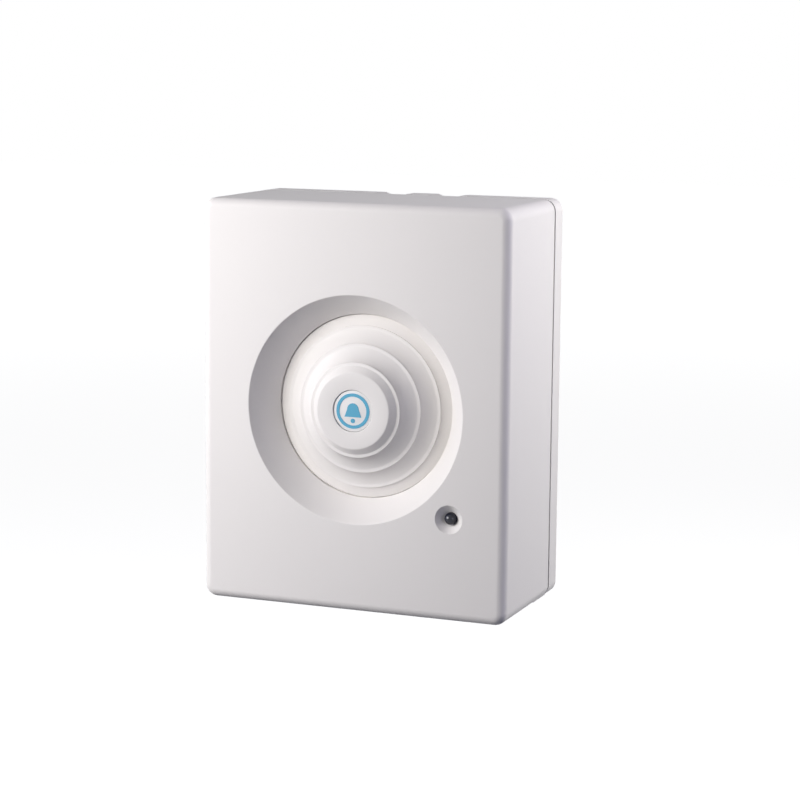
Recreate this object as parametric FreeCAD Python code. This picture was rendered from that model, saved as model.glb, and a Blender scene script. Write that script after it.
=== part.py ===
"""Wall-mounted radio doorbell sounder: a deep moulded box with a stepped round louvre in its face.

All sizes are millimetres. X runs to the right and Z up as seen by someone facing the sounder, and Y runs
into the wall. The origin is the centre of the back plate's wall face, so the front face lies at
Y = -body_depth. The front cover hinges on two snap-in bars at its lower rear edge.
"""
import math
import os

import FreeCAD, Part
from FreeCAD import Vector

# Casing
body_width = 116.6
body_height = 146.0
body_depth = 57.4
wall = 2.5
corner_radius = 4.5
front_fillet = 3.3
seam_from_wall = 8.4
seam_gap = 1.0

# Round recess in the cover's face, and where its axis and the dome's lies from the middle
dome_x = 0.9
dome_z = -0.2
recess_radius = 40.9
recess_throat_radius = 33.35
recess_cone_depth = 10.6
recess_depth = 17.0
recess_opening_radius = 15.0
recess_edge_fillet = 0.4

# Stepped dome, depths measured back from the front face
nose_radius = 13.7
nose_proud = 1.0
nose_edge_fillet = 0.9
nose_wall = 3.4
ring_radii = (17.0, 23.1, 29.2)
ring_depths = (1.2, 5.7, 9.5)
ring_ledge = 1.1
ring_drop = 0.45
ring_drop_run = 0.12
dome_rim_radius = 33.0
dome_rim_depth = 11.6
dome_rim_thickness = 1.5
dome_wall = 2.3
dome_leg_count = 3
dome_leg_circle = 25.4
dome_leg_radius = 2.7

# Badge in the nose
badge_radius = 7.4
badge_thickness = 1.2
badge_sunk = 0.45
badge_clearance = 0.1
symbol_outer_radius = 6.3
symbol_stroke = 1.15
symbol_height = 0.12

# Indicator light at the lower right of the face
indicator_from_side = 21.2
indicator_from_bottom = 36.7
countersink_radius = 5.2
countersink_depth = 2.9
indicator_boss_radius = 7.2
indicator_boss_length = 7.0
lens_radius = 2.2
lens_clearance = 0.08
lens_shoulder_depth = 2.2
lens_rear_from_wall = 33.0
lens_flange_radius = 3.7
lens_flange_thickness = 1.0
retainer_radius = 5.2
retainer_thickness = 1.4

# Hinge at the cover's lower rear edge
hinge_from_wall = 15.0
hinge_bar_radius = 0.95
hinge_clearance = 0.05
hinge_clip_radius = 2.25
hinge_clip_width = 8.0
hinge_clip_spacing = 60.0
hinge_side_gap = 0.3
hinge_window_gap = 0.5
hinge_snap_slot = 1.5

# Catches at the top of the cover and their release scoops in the back plate
catch_spacing = 21.0
catch_offset = 5.5
catch_width = 8.0
catch_thickness = 1.6
catch_reach = 4.6
catch_root_length = 10.0
catch_drop = 0.65
catch_side_gap = 0.6
scoop_width = 11.0
scoop_depth = 1.25

# Back plate
plate_floor = 2.5
plate_back_recess = 0.8
plate_back_land = 5.0
plate_pad_radius = 9.0
lip_thickness = 1.2
lip_gap = 0.4
lip_height = 3.4
ledge_reach = 13.5
ledge_drop = 1.2
ledge_gap = 0.15
ledge_end_inset = 4.0
wall_hole_radius = 2.25
wall_hole_spacing_x = 80.0
wall_hole_spacing_z = 128.0
wall_hole_pad_radius = 5.5
wall_hole_pad_height = 1.5
plate_rib_thickness = 1.4
plate_rib_height = 2.2

# Batteries and their holder
cell_radius = 7.1
cell_length = 49.3
cell_nub_radius = 2.6
cell_nub_length = 1.1
cell_edge_fillet = 0.6
bay_clearance = 0.15
bay_spring_room = 2.6
holder_wall = 1.1
holder_end_wall = 1.5
holder_floor = 1.2
holder_side_rise = 3.5
holder_left_gap = 0.3
contact_thickness = 0.4
contact_width = 8.0
contact_height = 10.0
contact_play = 0.1
leaf_tip_width = 5.0
holder_screw_inset = 8.0
holder_screw_length = 2.4

# Main board
board_holder_gap = 0.8
board_side_gap = 2.2
board_bottom_margin = 14.0
board_top_margin = 15.0
board_thickness = 1.6
board_standoff = 5.0
board_hole_inset = 4.5
standoff_radius = 3.4

# Screws
screw_shank_radius = 1.4
screw_head_radius = 2.7
screw_head_height = 1.7
screw_length = 5.5
screw_hole_clearance = 0.2
screw_pilot_clearance = 0.05
screw_slot_width = 0.7
screw_slot_depth = 0.9

# Sounder capsule
sounder_radius = 21.3
sounder_wall = 1.5
sounder_cell_gap = 0.3
sounder_shelf_width = 2.2
sounder_shelf_height = 5.2
sounder_fit = 0.1
sounder_leg_circle = 17.5
sounder_leg_radius = 2.4
sounder_throat_radius = 6.0
sounder_mouth_radius = 14.0
sounder_chamber_height = 1.6
sounder_throat_height = 1.5
gasket_thickness = 1.6
gasket_gap = 0.3
gasket_width = 4.8
piezo_thickness = 0.3
ceramic_radius = 12.5
ceramic_thickness = 0.25
sounder_pin_radius = 0.5
sounder_pin_spacing = 12.0

# Status light behind the lens
led_radius = 2.5
led_flange_radius = 2.9
led_flange_thickness = 1.0
led_height = 8.6
led_gap = 1.0
spacer_radius = 3.0
spacer_bore_radius = 1.6

# Learn button, placed from the board's edges
learn_from_left = 9.9
learn_from_bottom = 25.0
switch_width = 6.2
switch_height = 3.5
plunger_radius = 1.75
plunger_clearance = 0.1
plunger_proud = 1.6
plunger_sunk = 1.5
plunger_travel = 0.3

# Switch block with four sliding levers
dip_from_left = 27.9
dip_from_bottom = 12.0
dip_count = 4
dip_pitch = 2.54
dip_end_margin = 1.04
dip_side_wall = 2.7
dip_height = 5.0
dip_window_depth = 1.6
dip_lever_size = 1.3
dip_lever_proud = 0.9
dip_clearance = 0.15
dip_travel = 2.0

# Volume trimmer
trimmer_from_left = 9.9
trimmer_from_bottom = 10.0
trimmer_width = 7.0
trimmer_height = 3.6
rotor_radius = 2.6
rotor_clearance = 0.08
rotor_sunk = 1.6
rotor_proud = 0.5
rotor_slot_width = 0.8
rotor_slot_depth = 0.7

# Radio module
radio_from_right = 15.0
radio_from_top = 22.0
radio_width = 22.0
radio_length = 30.0
radio_thickness = 1.0
radio_standoff = 2.5
radio_can_width = 15.0
radio_can_length = 16.0
radio_can_height = 2.8
radio_pin_count = 6
radio_pin_radius = 0.45
radio_pin_inset = 1.5
radio_edge = 2.0
radio_can_fillet = 0.4
antenna_radius = 0.6
antenna_inset = 3.0
antenna_overlap = 5.0
antenna_rise = 11.5
antenna_run = 34.0

# Parts soldered to the main board
chip_from_right = 14.0
chip_from_top = 52.0
chip_width = 10.0
chip_length = 12.8
chip_height = 2.2
chip_leg_count = 8
chip_leg_pitch = 1.27
chip_leg_width = 0.5
chip_leg_reach = 1.5
chip_leg_thickness = 0.2
chip_leg_shoulder = 0.4
crystal_from_right = 14.0
crystal_from_top = 66.0
crystal_width = 11.0
crystal_length = 4.6
crystal_height = 3.5
coil_from_left = 33.9
coil_from_bottom = 27.0
coil_radius = 4.5
coil_height = 5.5
coil_flange = 1.0
coil_core_radius = 3.0
coil_winding_sunk = 0.4
capacitor_radius = 4.0
capacitor_height = 11.0
capacitor_places = ((44.4, 13.0), (54.4, 9.0))
header_from_left = 9.9
header_from_top = 13.0
header_width = 9.0
header_length = 7.0
header_height = 6.0
header_wall = 0.9
plug_gap = 0.15
plug_proud = 5.0
lead_radius = 0.8
lead_pitch = 3.0
lead_rise = 5.0
small_chip_size = (1.6, 0.8, 3.2)
upper_left_chips = ((4.9, 22.0), (23.9, 18.0), (33.9, 12.0))
lower_left_chips = ((23.9, 25.0), (43.9, 29.0))
right_hand_chips = (
    (26.0, 64.0), (26.0, 58.0), (26.0, 52.0), (5.0, 50.0), (5.0, 56.0), (28.0, 36.0), (5.0, 72.0),
)

# Places worked out from the sizes above
front_y = -body_depth
seam_y = -seam_from_wall
plate_front_y = seam_y + seam_gap / 2
cover_rear_y = seam_y - seam_gap / 2
plate_floor_y = -plate_floor
recess_floor_y = front_y + recess_depth
recess_inner_y = recess_floor_y + wall
hinge_y = -hinge_from_wall
hinge_z = -body_height / 2 + wall / 2
board_back_y = plate_floor_y - board_standoff
board_front_y = board_back_y - board_thickness
lens_rear_y = -lens_rear_from_wall
sounder_front_y = recess_inner_y + gasket_gap + gasket_thickness
plate_rim = wall + lip_gap + lip_thickness
bay_radius = cell_radius + bay_clearance
cell_pitch = 2 * bay_radius
cell_y = plate_floor_y - holder_floor - bay_radius
bay_length = cell_length + cell_nub_length + bay_spring_room
holder_left = -body_width / 2 + plate_rim + holder_left_gap
holder_right = holder_left + 2 * holder_wall + 2 * cell_pitch
holder_top = bay_length + 1.5 * holder_end_wall
sounder_back_y = cell_y - bay_radius - sounder_cell_gap
board_left = holder_right + board_holder_gap
board_right = body_width / 2 - plate_rim - board_side_gap
board_bottom = -body_height / 2 + board_bottom_margin
board_top = body_height / 2 - board_top_margin
indicator_x = body_width / 2 - indicator_from_side
indicator_z = -body_height / 2 + indicator_from_bottom
learn_x = board_left + learn_from_left
learn_z = board_bottom + learn_from_bottom
dip_x = board_left + dip_from_left
dip_z = board_bottom + dip_from_bottom
trimmer_x = board_left + trimmer_from_left
trimmer_z = board_bottom + trimmer_from_bottom
radio_x = board_right - radio_from_right
radio_z = board_top - radio_from_top
chip_x = board_right - chip_from_right
chip_z = board_top - chip_from_top
crystal_x = board_right - crystal_from_right
crystal_z = board_top - crystal_from_top
coil_x = board_left + coil_from_left
coil_z = board_bottom + coil_from_bottom
header_x = board_left + header_from_left
header_z = board_top - header_from_top
cell_columns = (holder_left + holder_wall + bay_radius, holder_right - holder_wall - bay_radius)
dome_leg_angles = [90 + 360 * index / dome_leg_count for index in range(dome_leg_count)]
catch_places = (catch_offset - catch_spacing / 2, catch_offset + catch_spacing / 2)
clip_places = (-hinge_clip_spacing / 2, hinge_clip_spacing / 2)
TINY = 0.01
PAST = 1.0
ALONG_X = Vector(1, 0, 0)
ALONG_Y = Vector(0, 1, 0)
ALONG_Z = Vector(0, 0, 1)
ORIGIN = Vector(0, 0, 0)


def block(x, y, z):
    """Box between three (low, high) pairs."""
    size = (x[1] - x[0], y[1] - y[0], z[1] - z[0])
    return Part.makeBox(*size, Vector(x[0], y[0], z[0]))


def around(centre, width):
    """(low, high) pair of a width laid about a centre."""
    return centre - width / 2, centre + width / 2


def rod_y(radius, y, x=dome_x, z=dome_z):
    """Cylinder along Y between a (low, high) pair, about the dome's axis if no other is given."""
    return Part.makeCylinder(radius, y[1] - y[0], Vector(x, y[0], z), ALONG_Y)


def rod_x(radius, x, y, z):
    """Cylinder along X between a (low, high) pair."""
    return Part.makeCylinder(radius, x[1] - x[0], Vector(x[0], y, z), ALONG_X)


def rod_z(radius, x, y, z):
    """Cylinder along Z between a (low, high) pair."""
    return Part.makeCylinder(radius, z[1] - z[0], Vector(x, y, z[0]), ALONG_Z)


def tube_y(outer, inner, y, x=dome_x, z=dome_z):
    """Ring along Y between a (low, high) pair, about the dome's axis if no other is given."""
    return rod_y(outer, y, x, z).cut(rod_y(inner, y, x, z))


def turned(points, x=dome_x, z=dome_z):
    """Solid turned from (radius, y) points about the dome's axis, or another along Y."""
    corners = [Vector(radius, y, 0) for radius, y in points]
    face = Part.Face(Part.makePolygon(corners + corners[:1]))
    solid = face.revolve(ORIGIN, ALONG_Y, 360)
    solid.translate(Vector(x, 0, z))
    return solid


def prism_x(points, x):
    """Solid with a (y, z) outline, pushed along X between a (low, high) pair."""
    corners = [Vector(x[0], y, z) for y, z in points]
    face = Part.Face(Part.makePolygon(corners + corners[:1]))
    return face.extrude(Vector(x[1] - x[0], 0, 0))


def rounded_block(inset, y, radius):
    """Block with the casing's outline less an inset, its four edges along Y rounded."""
    half_width = body_width / 2 - inset
    half_height = body_height / 2 - inset
    solid = block((-half_width, half_width), y, (-half_height, half_height))
    edges = [edge for edge in solid.Edges if edge.BoundBox.YLength > TINY]
    return solid.makeFillet(radius, edges)


def rounded_front(solid, y, radius):
    """Round the edges of the face at one Y."""
    edges = [edge for edge in solid.Edges if edge.BoundBox.YMax < y + TINY]
    return solid.makeFillet(radius, edges)


def bent_rod(points, radius):
    """Round wire along straight runs joined by tangent arcs as large as the runs allow."""
    corners = [Vector(*point) for point in points]
    edges = []
    start = corners[0]
    for before, corner, after in zip(corners, corners[1:], corners[2:]):
        back = (before - corner).normalize()
        ahead = (after - corner).normalize()
        setback = 0.45 * min((before - corner).Length, (after - corner).Length)
        half_turn = (math.pi - back.getAngle(ahead)) / 2
        bend = setback / math.tan(half_turn)
        reach = math.hypot(bend, setback) - bend
        arc_start = corner + back * setback
        arc_end = corner + ahead * setback
        arc_middle = corner + (back + ahead).normalize() * reach
        edges.append(Part.LineSegment(start, arc_start).toShape())
        edges.append(Part.Arc(arc_start, arc_middle, arc_end).toShape())
        start = arc_end
    edges.append(Part.LineSegment(start, corners[-1]).toShape())
    path = Part.Wire(edges)
    section = Part.Wire(Part.makeCircle(radius, corners[0], corners[1] - corners[0]))
    return path.makePipeShell([section], True, False)


def screw(x, z, seat_y, into, length=screw_length):
    """Pan-head screw: its head stands on seat_y and its shank runs along Y by the sign of into."""
    head_y = sorted((seat_y, seat_y - into * screw_head_height))
    shank_y = sorted((seat_y - into * screw_head_height / 2, seat_y + into * length))
    solid = rod_y(screw_head_radius, head_y, x, z)
    top = seat_y - into * screw_head_height
    rim = [edge for edge in solid.Edges if abs(edge.BoundBox.YMax - top) < TINY]
    solid = solid.makeFillet(screw_head_height * 0.4, rim)
    solid = solid.fuse(rod_y(screw_shank_radius, shank_y, x, z))
    slot_y = sorted((top - into * TINY, top + into * screw_slot_depth))
    reach = 1.3 * screw_head_radius
    for width, height in ((reach, screw_slot_width), (screw_slot_width, reach)):
        solid = solid.cut(block(around(x, width), slot_y, around(z, height)))
    return solid.removeSplitter()


def on_circle(radius, degrees):
    """(x, z) of a point on a circle about the dome's axis."""
    angle = math.radians(degrees)
    return dome_x + radius * math.cos(angle), dome_z + radius * math.sin(angle)


def save(name, *solids):
    """Write one sub-part, a single solid or a group of separate ones."""
    shape = solids[0] if len(solids) == 1 else Part.makeCompound(list(solids))
    if not shape.isValid() or shape.Volume <= 0:
        raise ValueError(name + " is not a sound solid")
    shape.exportStep("parts/" + name + ".step")
    print(name, len(shape.Solids), round(shape.Volume, 1))


def recess_profile(offset):
    """(radius, y) outline of the cover's recess, grown by an offset."""
    return [
        (0.0, front_y - TINY),
        (recess_radius + offset, front_y - TINY),
        (recess_throat_radius + offset, front_y + recess_cone_depth),
        (recess_throat_radius + offset, recess_floor_y + offset),
        (0.0, recess_floor_y + offset),
    ]


def cover_shell():
    """Hollow box of the cover, open at the back."""
    outer = rounded_block(0.0, (front_y, cover_rear_y), corner_radius)
    outer = rounded_front(outer, front_y, min(front_fillet, corner_radius - 0.1))
    inner_radius = max(corner_radius - wall, 0.5)
    inner = rounded_block(wall, (front_y + wall, cover_rear_y + 1), inner_radius)
    inner = rounded_front(inner, front_y + wall, inner_radius * 0.9)
    return outer.cut(inner)


def hinge_windows():
    """Openings in the cover's bottom wall that leave room for the back plate's clips."""
    front = hinge_y - hinge_clip_radius - hinge_window_gap
    width = hinge_clip_width + 2 * hinge_side_gap
    z = (-body_height / 2 - PAST, -body_height / 2 + wall + PAST)
    return [block(around(x, width), (front, cover_rear_y + PAST), z) for x in clip_places]


def hinge_bars():
    """Round bars across the windows, which the clips hold."""
    length = hinge_clip_width + 2 * hinge_side_gap + wall
    return [rod_x(hinge_bar_radius, around(x, length), hinge_y, hinge_z) for x in clip_places]


def catch_tongues():
    """Tongues at the top of the cover that reach behind the seam, under the scoops."""
    top = body_height / 2 - wall
    low = top - catch_drop - catch_thickness
    tongues = []
    for x in catch_places:
        root_y = (cover_rear_y - catch_root_length, cover_rear_y)
        root = block(around(x, catch_width), root_y, (low, top + wall / 5))
        tongue_y = (cover_rear_y - catch_root_length, cover_rear_y + catch_reach)
        tongues.append(root.fuse(block(around(x, catch_width), tongue_y, (low, low + catch_thickness))))
    return tongues


def front_cover():
    """Deep moulded cover with its recess, indicator boss, hinge bars and catch tongues."""
    solid = cover_shell()
    inside_cover = rounded_block(wall / 2, (front_y + wall / 2, 0), wall / 2)
    solid = solid.fuse(turned(recess_profile(wall)).common(inside_cover))
    solid = solid.cut(turned(recess_profile(0.0)))
    floor_y = (recess_floor_y - PAST, recess_inner_y + PAST)
    solid = solid.cut(rod_y(recess_opening_radius, floor_y))
    boss_y = (front_y + wall / 2, front_y + indicator_boss_length)
    solid = solid.fuse(rod_y(indicator_boss_radius, boss_y, indicator_x, indicator_z))
    bore_radius = lens_radius + lens_clearance
    sink = turned([
        (0.0, front_y - TINY),
        (countersink_radius, front_y - TINY),
        (bore_radius, front_y + countersink_depth),
        (bore_radius, front_y + indicator_boss_length + PAST),
        (0.0, front_y + indicator_boss_length + PAST),
    ], indicator_x, indicator_z)
    solid = solid.cut(sink)
    for angle in dome_leg_angles:
        x, z = on_circle(dome_leg_circle, angle)
        solid = solid.cut(rod_y(screw_shank_radius + screw_hole_clearance, floor_y, x, z))
    for window in hinge_windows():
        solid = solid.cut(window)
    solid = solid.fuse(hinge_bars() + catch_tongues())
    solid = solid.removeSplitter()
    rim = [edge for edge in solid.Edges if is_circle(edge, recess_radius, front_y)]
    return solid.makeFillet(recess_edge_fillet, rim)


def is_circle(edge, radius, y):
    """True for a full circle of a radius about the dome's axis, near one Y."""
    box = edge.BoundBox
    flat = box.YLength < TINY and abs(box.YMin - y) < 0.1
    return flat and abs(box.XLength - 2 * radius) < 0.1 and abs(box.XMax + box.XMin - 2 * dome_x) < 0.1


def dome_outer_profile():
    """(radius, y) points down the dome's stepped outside, from the nose to the rim."""
    points = [(nose_radius, front_y - nose_proud)]
    for radius, depth in zip(ring_radii, ring_depths):
        points.append((radius - ring_ledge, front_y + depth))
        points.append((radius, front_y + depth))
        points.append((radius + ring_drop_run, front_y + depth + ring_drop))
    points.append((dome_rim_radius, front_y + dome_rim_depth))
    return points


def dome_inner_profile():
    """(radius, y) points of the dome's inside, from the rim to the nose."""
    points = [(dome_rim_radius - dome_wall / 2, front_y + dome_rim_depth + dome_rim_thickness)]
    for radius, depth in reversed(list(zip(ring_radii, ring_depths))):
        points.append((radius - ring_ledge, front_y + depth + dome_wall))
    points.append((nose_radius - dome_wall, front_y - nose_proud + nose_wall))
    return points


def sounder_dome():
    """Stepped louvre on three legs, with a seat for the badge in its nose."""
    rim = (dome_rim_radius, front_y + dome_rim_depth + dome_rim_thickness)
    inside = dome_inner_profile()
    outline = [(0.0, front_y - nose_proud)] + dome_outer_profile() + [rim] + inside
    solid = turned(outline + [(0.0, inside[-1][1])])
    nose_edge = [edge for edge in solid.Edges if is_circle(edge, nose_radius, front_y - nose_proud)]
    solid = solid.makeFillet(nose_edge_fillet, nose_edge)
    seat_depth = badge_sunk + badge_thickness
    seat_y = (front_y - nose_proud - 1, front_y - nose_proud + seat_depth)
    solid = solid.cut(rod_y(badge_radius + badge_clearance, seat_y))
    middle = [(radius, y - dome_wall / 2) for radius, y in inside]
    ends = [(0.0, middle[-1][1]), (0.0, recess_floor_y), (middle[0][0], recess_floor_y)]
    leg_space = turned(ends + middle)
    for angle in dome_leg_angles:
        x, z = on_circle(dome_leg_circle, angle)
        solid = solid.fuse(rod_y(dome_leg_radius, (front_y, recess_floor_y), x, z).common(leg_space))
        pilot = rod_y(screw_shank_radius + screw_pilot_clearance,
                      (recess_floor_y + wall - screw_length - 0.3, recess_floor_y + 1), x, z)
        solid = solid.cut(pilot)
    return solid.removeSplitter()


def dome_screws():
    """Screws through the recess floor into the dome's legs."""
    places = [on_circle(dome_leg_circle, angle) for angle in dome_leg_angles]
    return [screw(x, z, recess_inner_y, -1) for x, z in places]


def centre_badge():
    """Plain disc set in the dome's nose."""
    front = front_y - nose_proud + badge_sunk
    return rod_y(badge_radius, (front, front + badge_thickness))


def badge_symbol():
    """Raised print on the badge: a plain ring round a small bell."""
    front = front_y - nose_proud + badge_sunk
    y = (front - symbol_height, front)
    ring = tube_y(symbol_outer_radius, symbol_outer_radius - symbol_stroke, y)
    inner = symbol_outer_radius - symbol_stroke
    dome_radius = inner * 0.42
    shoulder = inner * 0.12
    foot = -inner * 0.42
    flare = inner * 0.62
    bell = rod_y(dome_radius, y, dome_x, dome_z + shoulder)
    corners = [(-dome_radius, shoulder), (dome_radius, shoulder), (flare, foot), (-flare, foot)]
    skirt_points = [Vector(dome_x + x, y[0], dome_z + z) for x, z in corners]
    skirt = Part.Face(Part.makePolygon(skirt_points + skirt_points[:1])).extrude(Vector(0, symbol_height, 0))
    clapper = rod_y(inner * 0.16, y, dome_x, dome_z + foot - inner * 0.26)
    return [ring, bell.fuse(skirt).removeSplitter(), clapper]


def indicator_lens():
    """Light pipe with a domed tip in the countersink and a flange behind the boss."""
    shoulder_y = front_y + lens_shoulder_depth
    flange_y = front_y + indicator_boss_length
    solid = rod_y(lens_radius, (shoulder_y, lens_rear_y), indicator_x, indicator_z)
    ball = Part.makeSphere(lens_radius, Vector(indicator_x, shoulder_y, indicator_z))
    solid = solid.fuse(ball)
    flange_span = (flange_y, flange_y + lens_flange_thickness)
    flange = rod_y(lens_flange_radius, flange_span, indicator_x, indicator_z)
    return solid.fuse(flange).removeSplitter()


def lens_retainer():
    """Push-on ring behind the light pipe's flange."""
    start = front_y + indicator_boss_length + lens_flange_thickness
    ring_y = (start, start + retainer_thickness)
    return tube_y(retainer_radius, lens_radius + lens_clearance, ring_y, indicator_x, indicator_z)


def plate_tray():
    """Shallow tray of the back plate: floor, rim and the lip that stands inside the cover."""
    solid = rounded_block(0.0, (plate_front_y, 0), corner_radius)
    inner_radius = max(corner_radius - wall, 0.5)
    pocket = rounded_block(plate_rim, (plate_front_y - lip_height - 1, plate_floor_y), inner_radius)
    lip = rounded_block(wall + lip_gap, (plate_front_y - lip_height, plate_front_y), inner_radius)
    bottom = (-body_height / 2 - 1, hinge_z + hinge_from_wall)
    lip = lip.cut(block((-body_width, body_width), (-body_depth, 0), bottom))
    return solid.fuse(lip).cut(pocket)


def board_hole_places():
    """(x, z) of the main board's four screws."""
    columns = (board_left + board_hole_inset, board_right - board_hole_inset)
    rows = (board_bottom + board_hole_inset, board_top - board_hole_inset)
    return [(x, z) for x in columns for z in rows]


def holder_screw_places():
    """(x, z) of the battery holder's two screws, between its columns."""
    middle = (holder_left + holder_right) / 2
    return [(middle, side * holder_screw_inset) for side in (-1, 1)]


def wall_hole_places():
    """(x, z) of the four wall fixing holes."""
    return [(sx * wall_hole_spacing_x / 2, sz * wall_hole_spacing_z / 2) for sx in (-1, 1) for sz in (-1, 1)]


def plate_ledge():
    """Ledge that runs under the cover's bottom edge and carries the hinge clips."""
    half = body_width / 2 - ledge_end_inset
    low = -body_height / 2 - ledge_drop
    top = -body_height / 2 - ledge_gap
    ledge = block((-half, half), (-ledge_reach, 0), (low, top))
    root = block((-half, half), (plate_front_y, 0), (low, -body_height / 2 + wall / 2))
    return ledge.fuse(root)


def hinge_clip(x):
    """Open clip on the ledge that snaps round one of the cover's bars."""
    width = around(x, hinge_clip_width)
    low = -body_height / 2 - ledge_drop
    ring = rod_x(hinge_clip_radius, width, hinge_y, hinge_z)
    neck = block(width, (-ledge_reach - TINY, -ledge_reach + hinge_clip_radius), (low, hinge_z))
    foot_z = (low, low + ledge_drop - ledge_gap)
    foot = block(width, (hinge_y, -ledge_reach + hinge_clip_radius), foot_z)
    past_width = around(x, hinge_clip_width + 2 * PAST)
    bore = rod_x(hinge_bar_radius + hinge_clearance, past_width, hinge_y, hinge_z)
    slot_z = (hinge_z, hinge_z + hinge_clip_radius + PAST)
    slot = block(past_width, around(hinge_y, hinge_snap_slot), slot_z)
    return ring.fuse([neck, foot]).cut(bore).cut(slot)


def plate_back_hollow():
    """Shallow hollow in the wall face, less the pads that bear on the wall."""
    hollow = rounded_block(plate_back_land, (-plate_back_recess, 1), corner_radius)
    pads = [rod_y(plate_pad_radius, (-body_depth, 2), 0, 0)]
    pads += [rod_y(wall_hole_pad_radius, (-body_depth, 2), x, z) for x, z in wall_hole_places()]
    for pad in pads:
        hollow = hollow.cut(pad)
    return hollow


def plate_scoop(x):
    """Cylinder that cuts one release scoop into the plate's top edge."""
    radius = (scoop_width ** 2 / 4 + scoop_depth ** 2) / (2 * scoop_depth)
    centre = body_height / 2 - scoop_depth + radius
    return rod_y(radius, (plate_front_y - 1, 1), x, centre)


def back_plate():
    """Moulded back plate with its ribs, standoffs, wall holes, ledge, clips and scoops."""
    solid = plate_tray()
    rib_y = (plate_floor_y - plate_rib_height, plate_floor_y + TINY)
    half_height = body_height / 2 - plate_rim
    for x in (board_left + board_hole_inset, board_right - board_hole_inset):
        solid = solid.fuse(block(around(x, plate_rib_thickness), rib_y, (-half_height, half_height)))
    for x, z in board_hole_places():
        solid = solid.fuse(rod_y(standoff_radius, (board_back_y, plate_floor_y + TINY), x, z))
    for x, z in wall_hole_places():
        pad_y = (plate_floor_y - wall_hole_pad_height, plate_floor_y + TINY)
        solid = solid.fuse(rod_y(wall_hole_pad_radius, pad_y, x, z))
    solid = solid.fuse([plate_ledge()] + [hinge_clip(x) for x in clip_places])
    for x, z in wall_hole_places():
        solid = solid.cut(rod_y(wall_hole_radius, (-body_depth, 1), x, z))
    for x, z in board_hole_places():
        pilot_y = (board_back_y - 1, plate_floor_y + TINY)
        solid = solid.cut(rod_y(screw_shank_radius + screw_pilot_clearance, pilot_y, x, z))
    for x, z in holder_screw_places():
        pilot_y = (plate_floor_y - 1, -plate_back_recess - 0.4)
        solid = solid.cut(rod_y(screw_shank_radius + screw_pilot_clearance, pilot_y, x, z))
    for x in catch_places:
        gap_x = around(x, catch_width + 2 * catch_side_gap)
        gap_y = (plate_front_y - lip_height - 1, plate_floor_y - 1)
        top = body_height / 2 - wall
        low = top - catch_drop - catch_thickness - catch_side_gap
        solid = solid.cut(block(gap_x, gap_y, (low, top)))
        solid = solid.cut(plate_scoop(x))
    return solid.cut(plate_back_hollow()).removeSplitter()


def row_spans():
    """(low, high) of the two rows of battery bays along Z."""
    half_wall = holder_end_wall / 2
    return (-half_wall - bay_length, -half_wall), (half_wall, half_wall + bay_length)


def battery_holder():
    """Open tray with four half-round bays, screwed to the back plate."""
    front = cell_y - holder_side_rise
    solid = block((holder_left, holder_right), (front, plate_floor_y), (-holder_top, holder_top))
    for x in cell_columns:
        for span in row_spans():
            solid = solid.cut(rod_z(bay_radius, x, cell_y, span))
            solid = solid.cut(block(around(x, 2 * bay_radius), (front - 1, cell_y), span))
    for x, z in holder_screw_places():
        seat_y = (front - 1, plate_floor_y - holder_floor)
        solid = solid.cut(rod_y(screw_head_radius + screw_hole_clearance, seat_y, x, z))
        solid = solid.cut(rod_y(screw_shank_radius + screw_hole_clearance, (front, 0), x, z))
    return solid.removeSplitter()


def holder_screws():
    """Screws through the battery holder's floor."""
    seat = plate_floor_y - holder_floor
    return [screw(x, z, seat, 1, holder_screw_length) for x, z in holder_screw_places()]


def battery_places():
    """(x, span, side) of each cell, where side is the way its positive end points along Z."""
    return [(x, span, side) for x, side in zip(cell_columns, (1, -1)) for span in row_spans()]


def battery_cell(x, span, side):
    """Round cell with its nub against the positive contact plate."""
    nub_end = span[1] - contact_thickness if side > 0 else span[0] + contact_thickness
    shoulder = nub_end - side * cell_nub_length
    body = rod_z(cell_radius, x, cell_y, sorted((shoulder, shoulder - side * cell_length)))
    rims = [edge for edge in body.Edges if edge.BoundBox.ZLength < TINY]
    body = body.makeFillet(cell_edge_fillet, rims)
    nub = rod_z(cell_nub_radius, x, cell_y, sorted((nub_end, shoulder - side * cell_edge_fillet)))
    return body.fuse(nub).removeSplitter()


def positive_contact(x, span, side):
    """Flat contact plate at a bay's positive end."""
    end = span[1] if side > 0 else span[0]
    z = sorted((end, end - side * contact_thickness))
    return block(around(x, contact_width), around(cell_y, contact_height), z)


def leaf_spring(x, span, side):
    """Folded leaf contact at a bay's negative end: a strip with a tongue that presses the cell."""
    end = span[0] if side > 0 else span[1]
    room = bay_spring_room - contact_thickness - contact_play
    low = cell_y - contact_height / 2
    high = cell_y + contact_height / 2
    middle = (low + high) / 2
    tip = leaf_tip_width / 2
    thick = contact_thickness
    outline = [(low, 0), (high, 0), (high, thick), (middle + tip, room), (middle - tip, room),
               (middle - tip, room - thick), (middle + tip - thick, room - thick),
               (high - 2 * thick, thick), (low, thick)]
    points = [(y, end + side * z) for y, z in outline]
    return prism_x(points, around(x, contact_width))


def main_board():
    """Main circuit board with holes for its screws and the indicator's legs."""
    solid = block((board_left, board_right), (board_front_y, board_back_y), (board_bottom, board_top))
    for x, z in board_hole_places():
        solid = solid.cut(rod_y(screw_shank_radius + screw_hole_clearance, (board_front_y - 1, 0), x, z))
    return solid


def board_screws():
    """Screws through the main board into the plate's standoffs."""
    return [screw(x, z, board_front_y, 1) for x, z in board_hole_places()]


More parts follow.
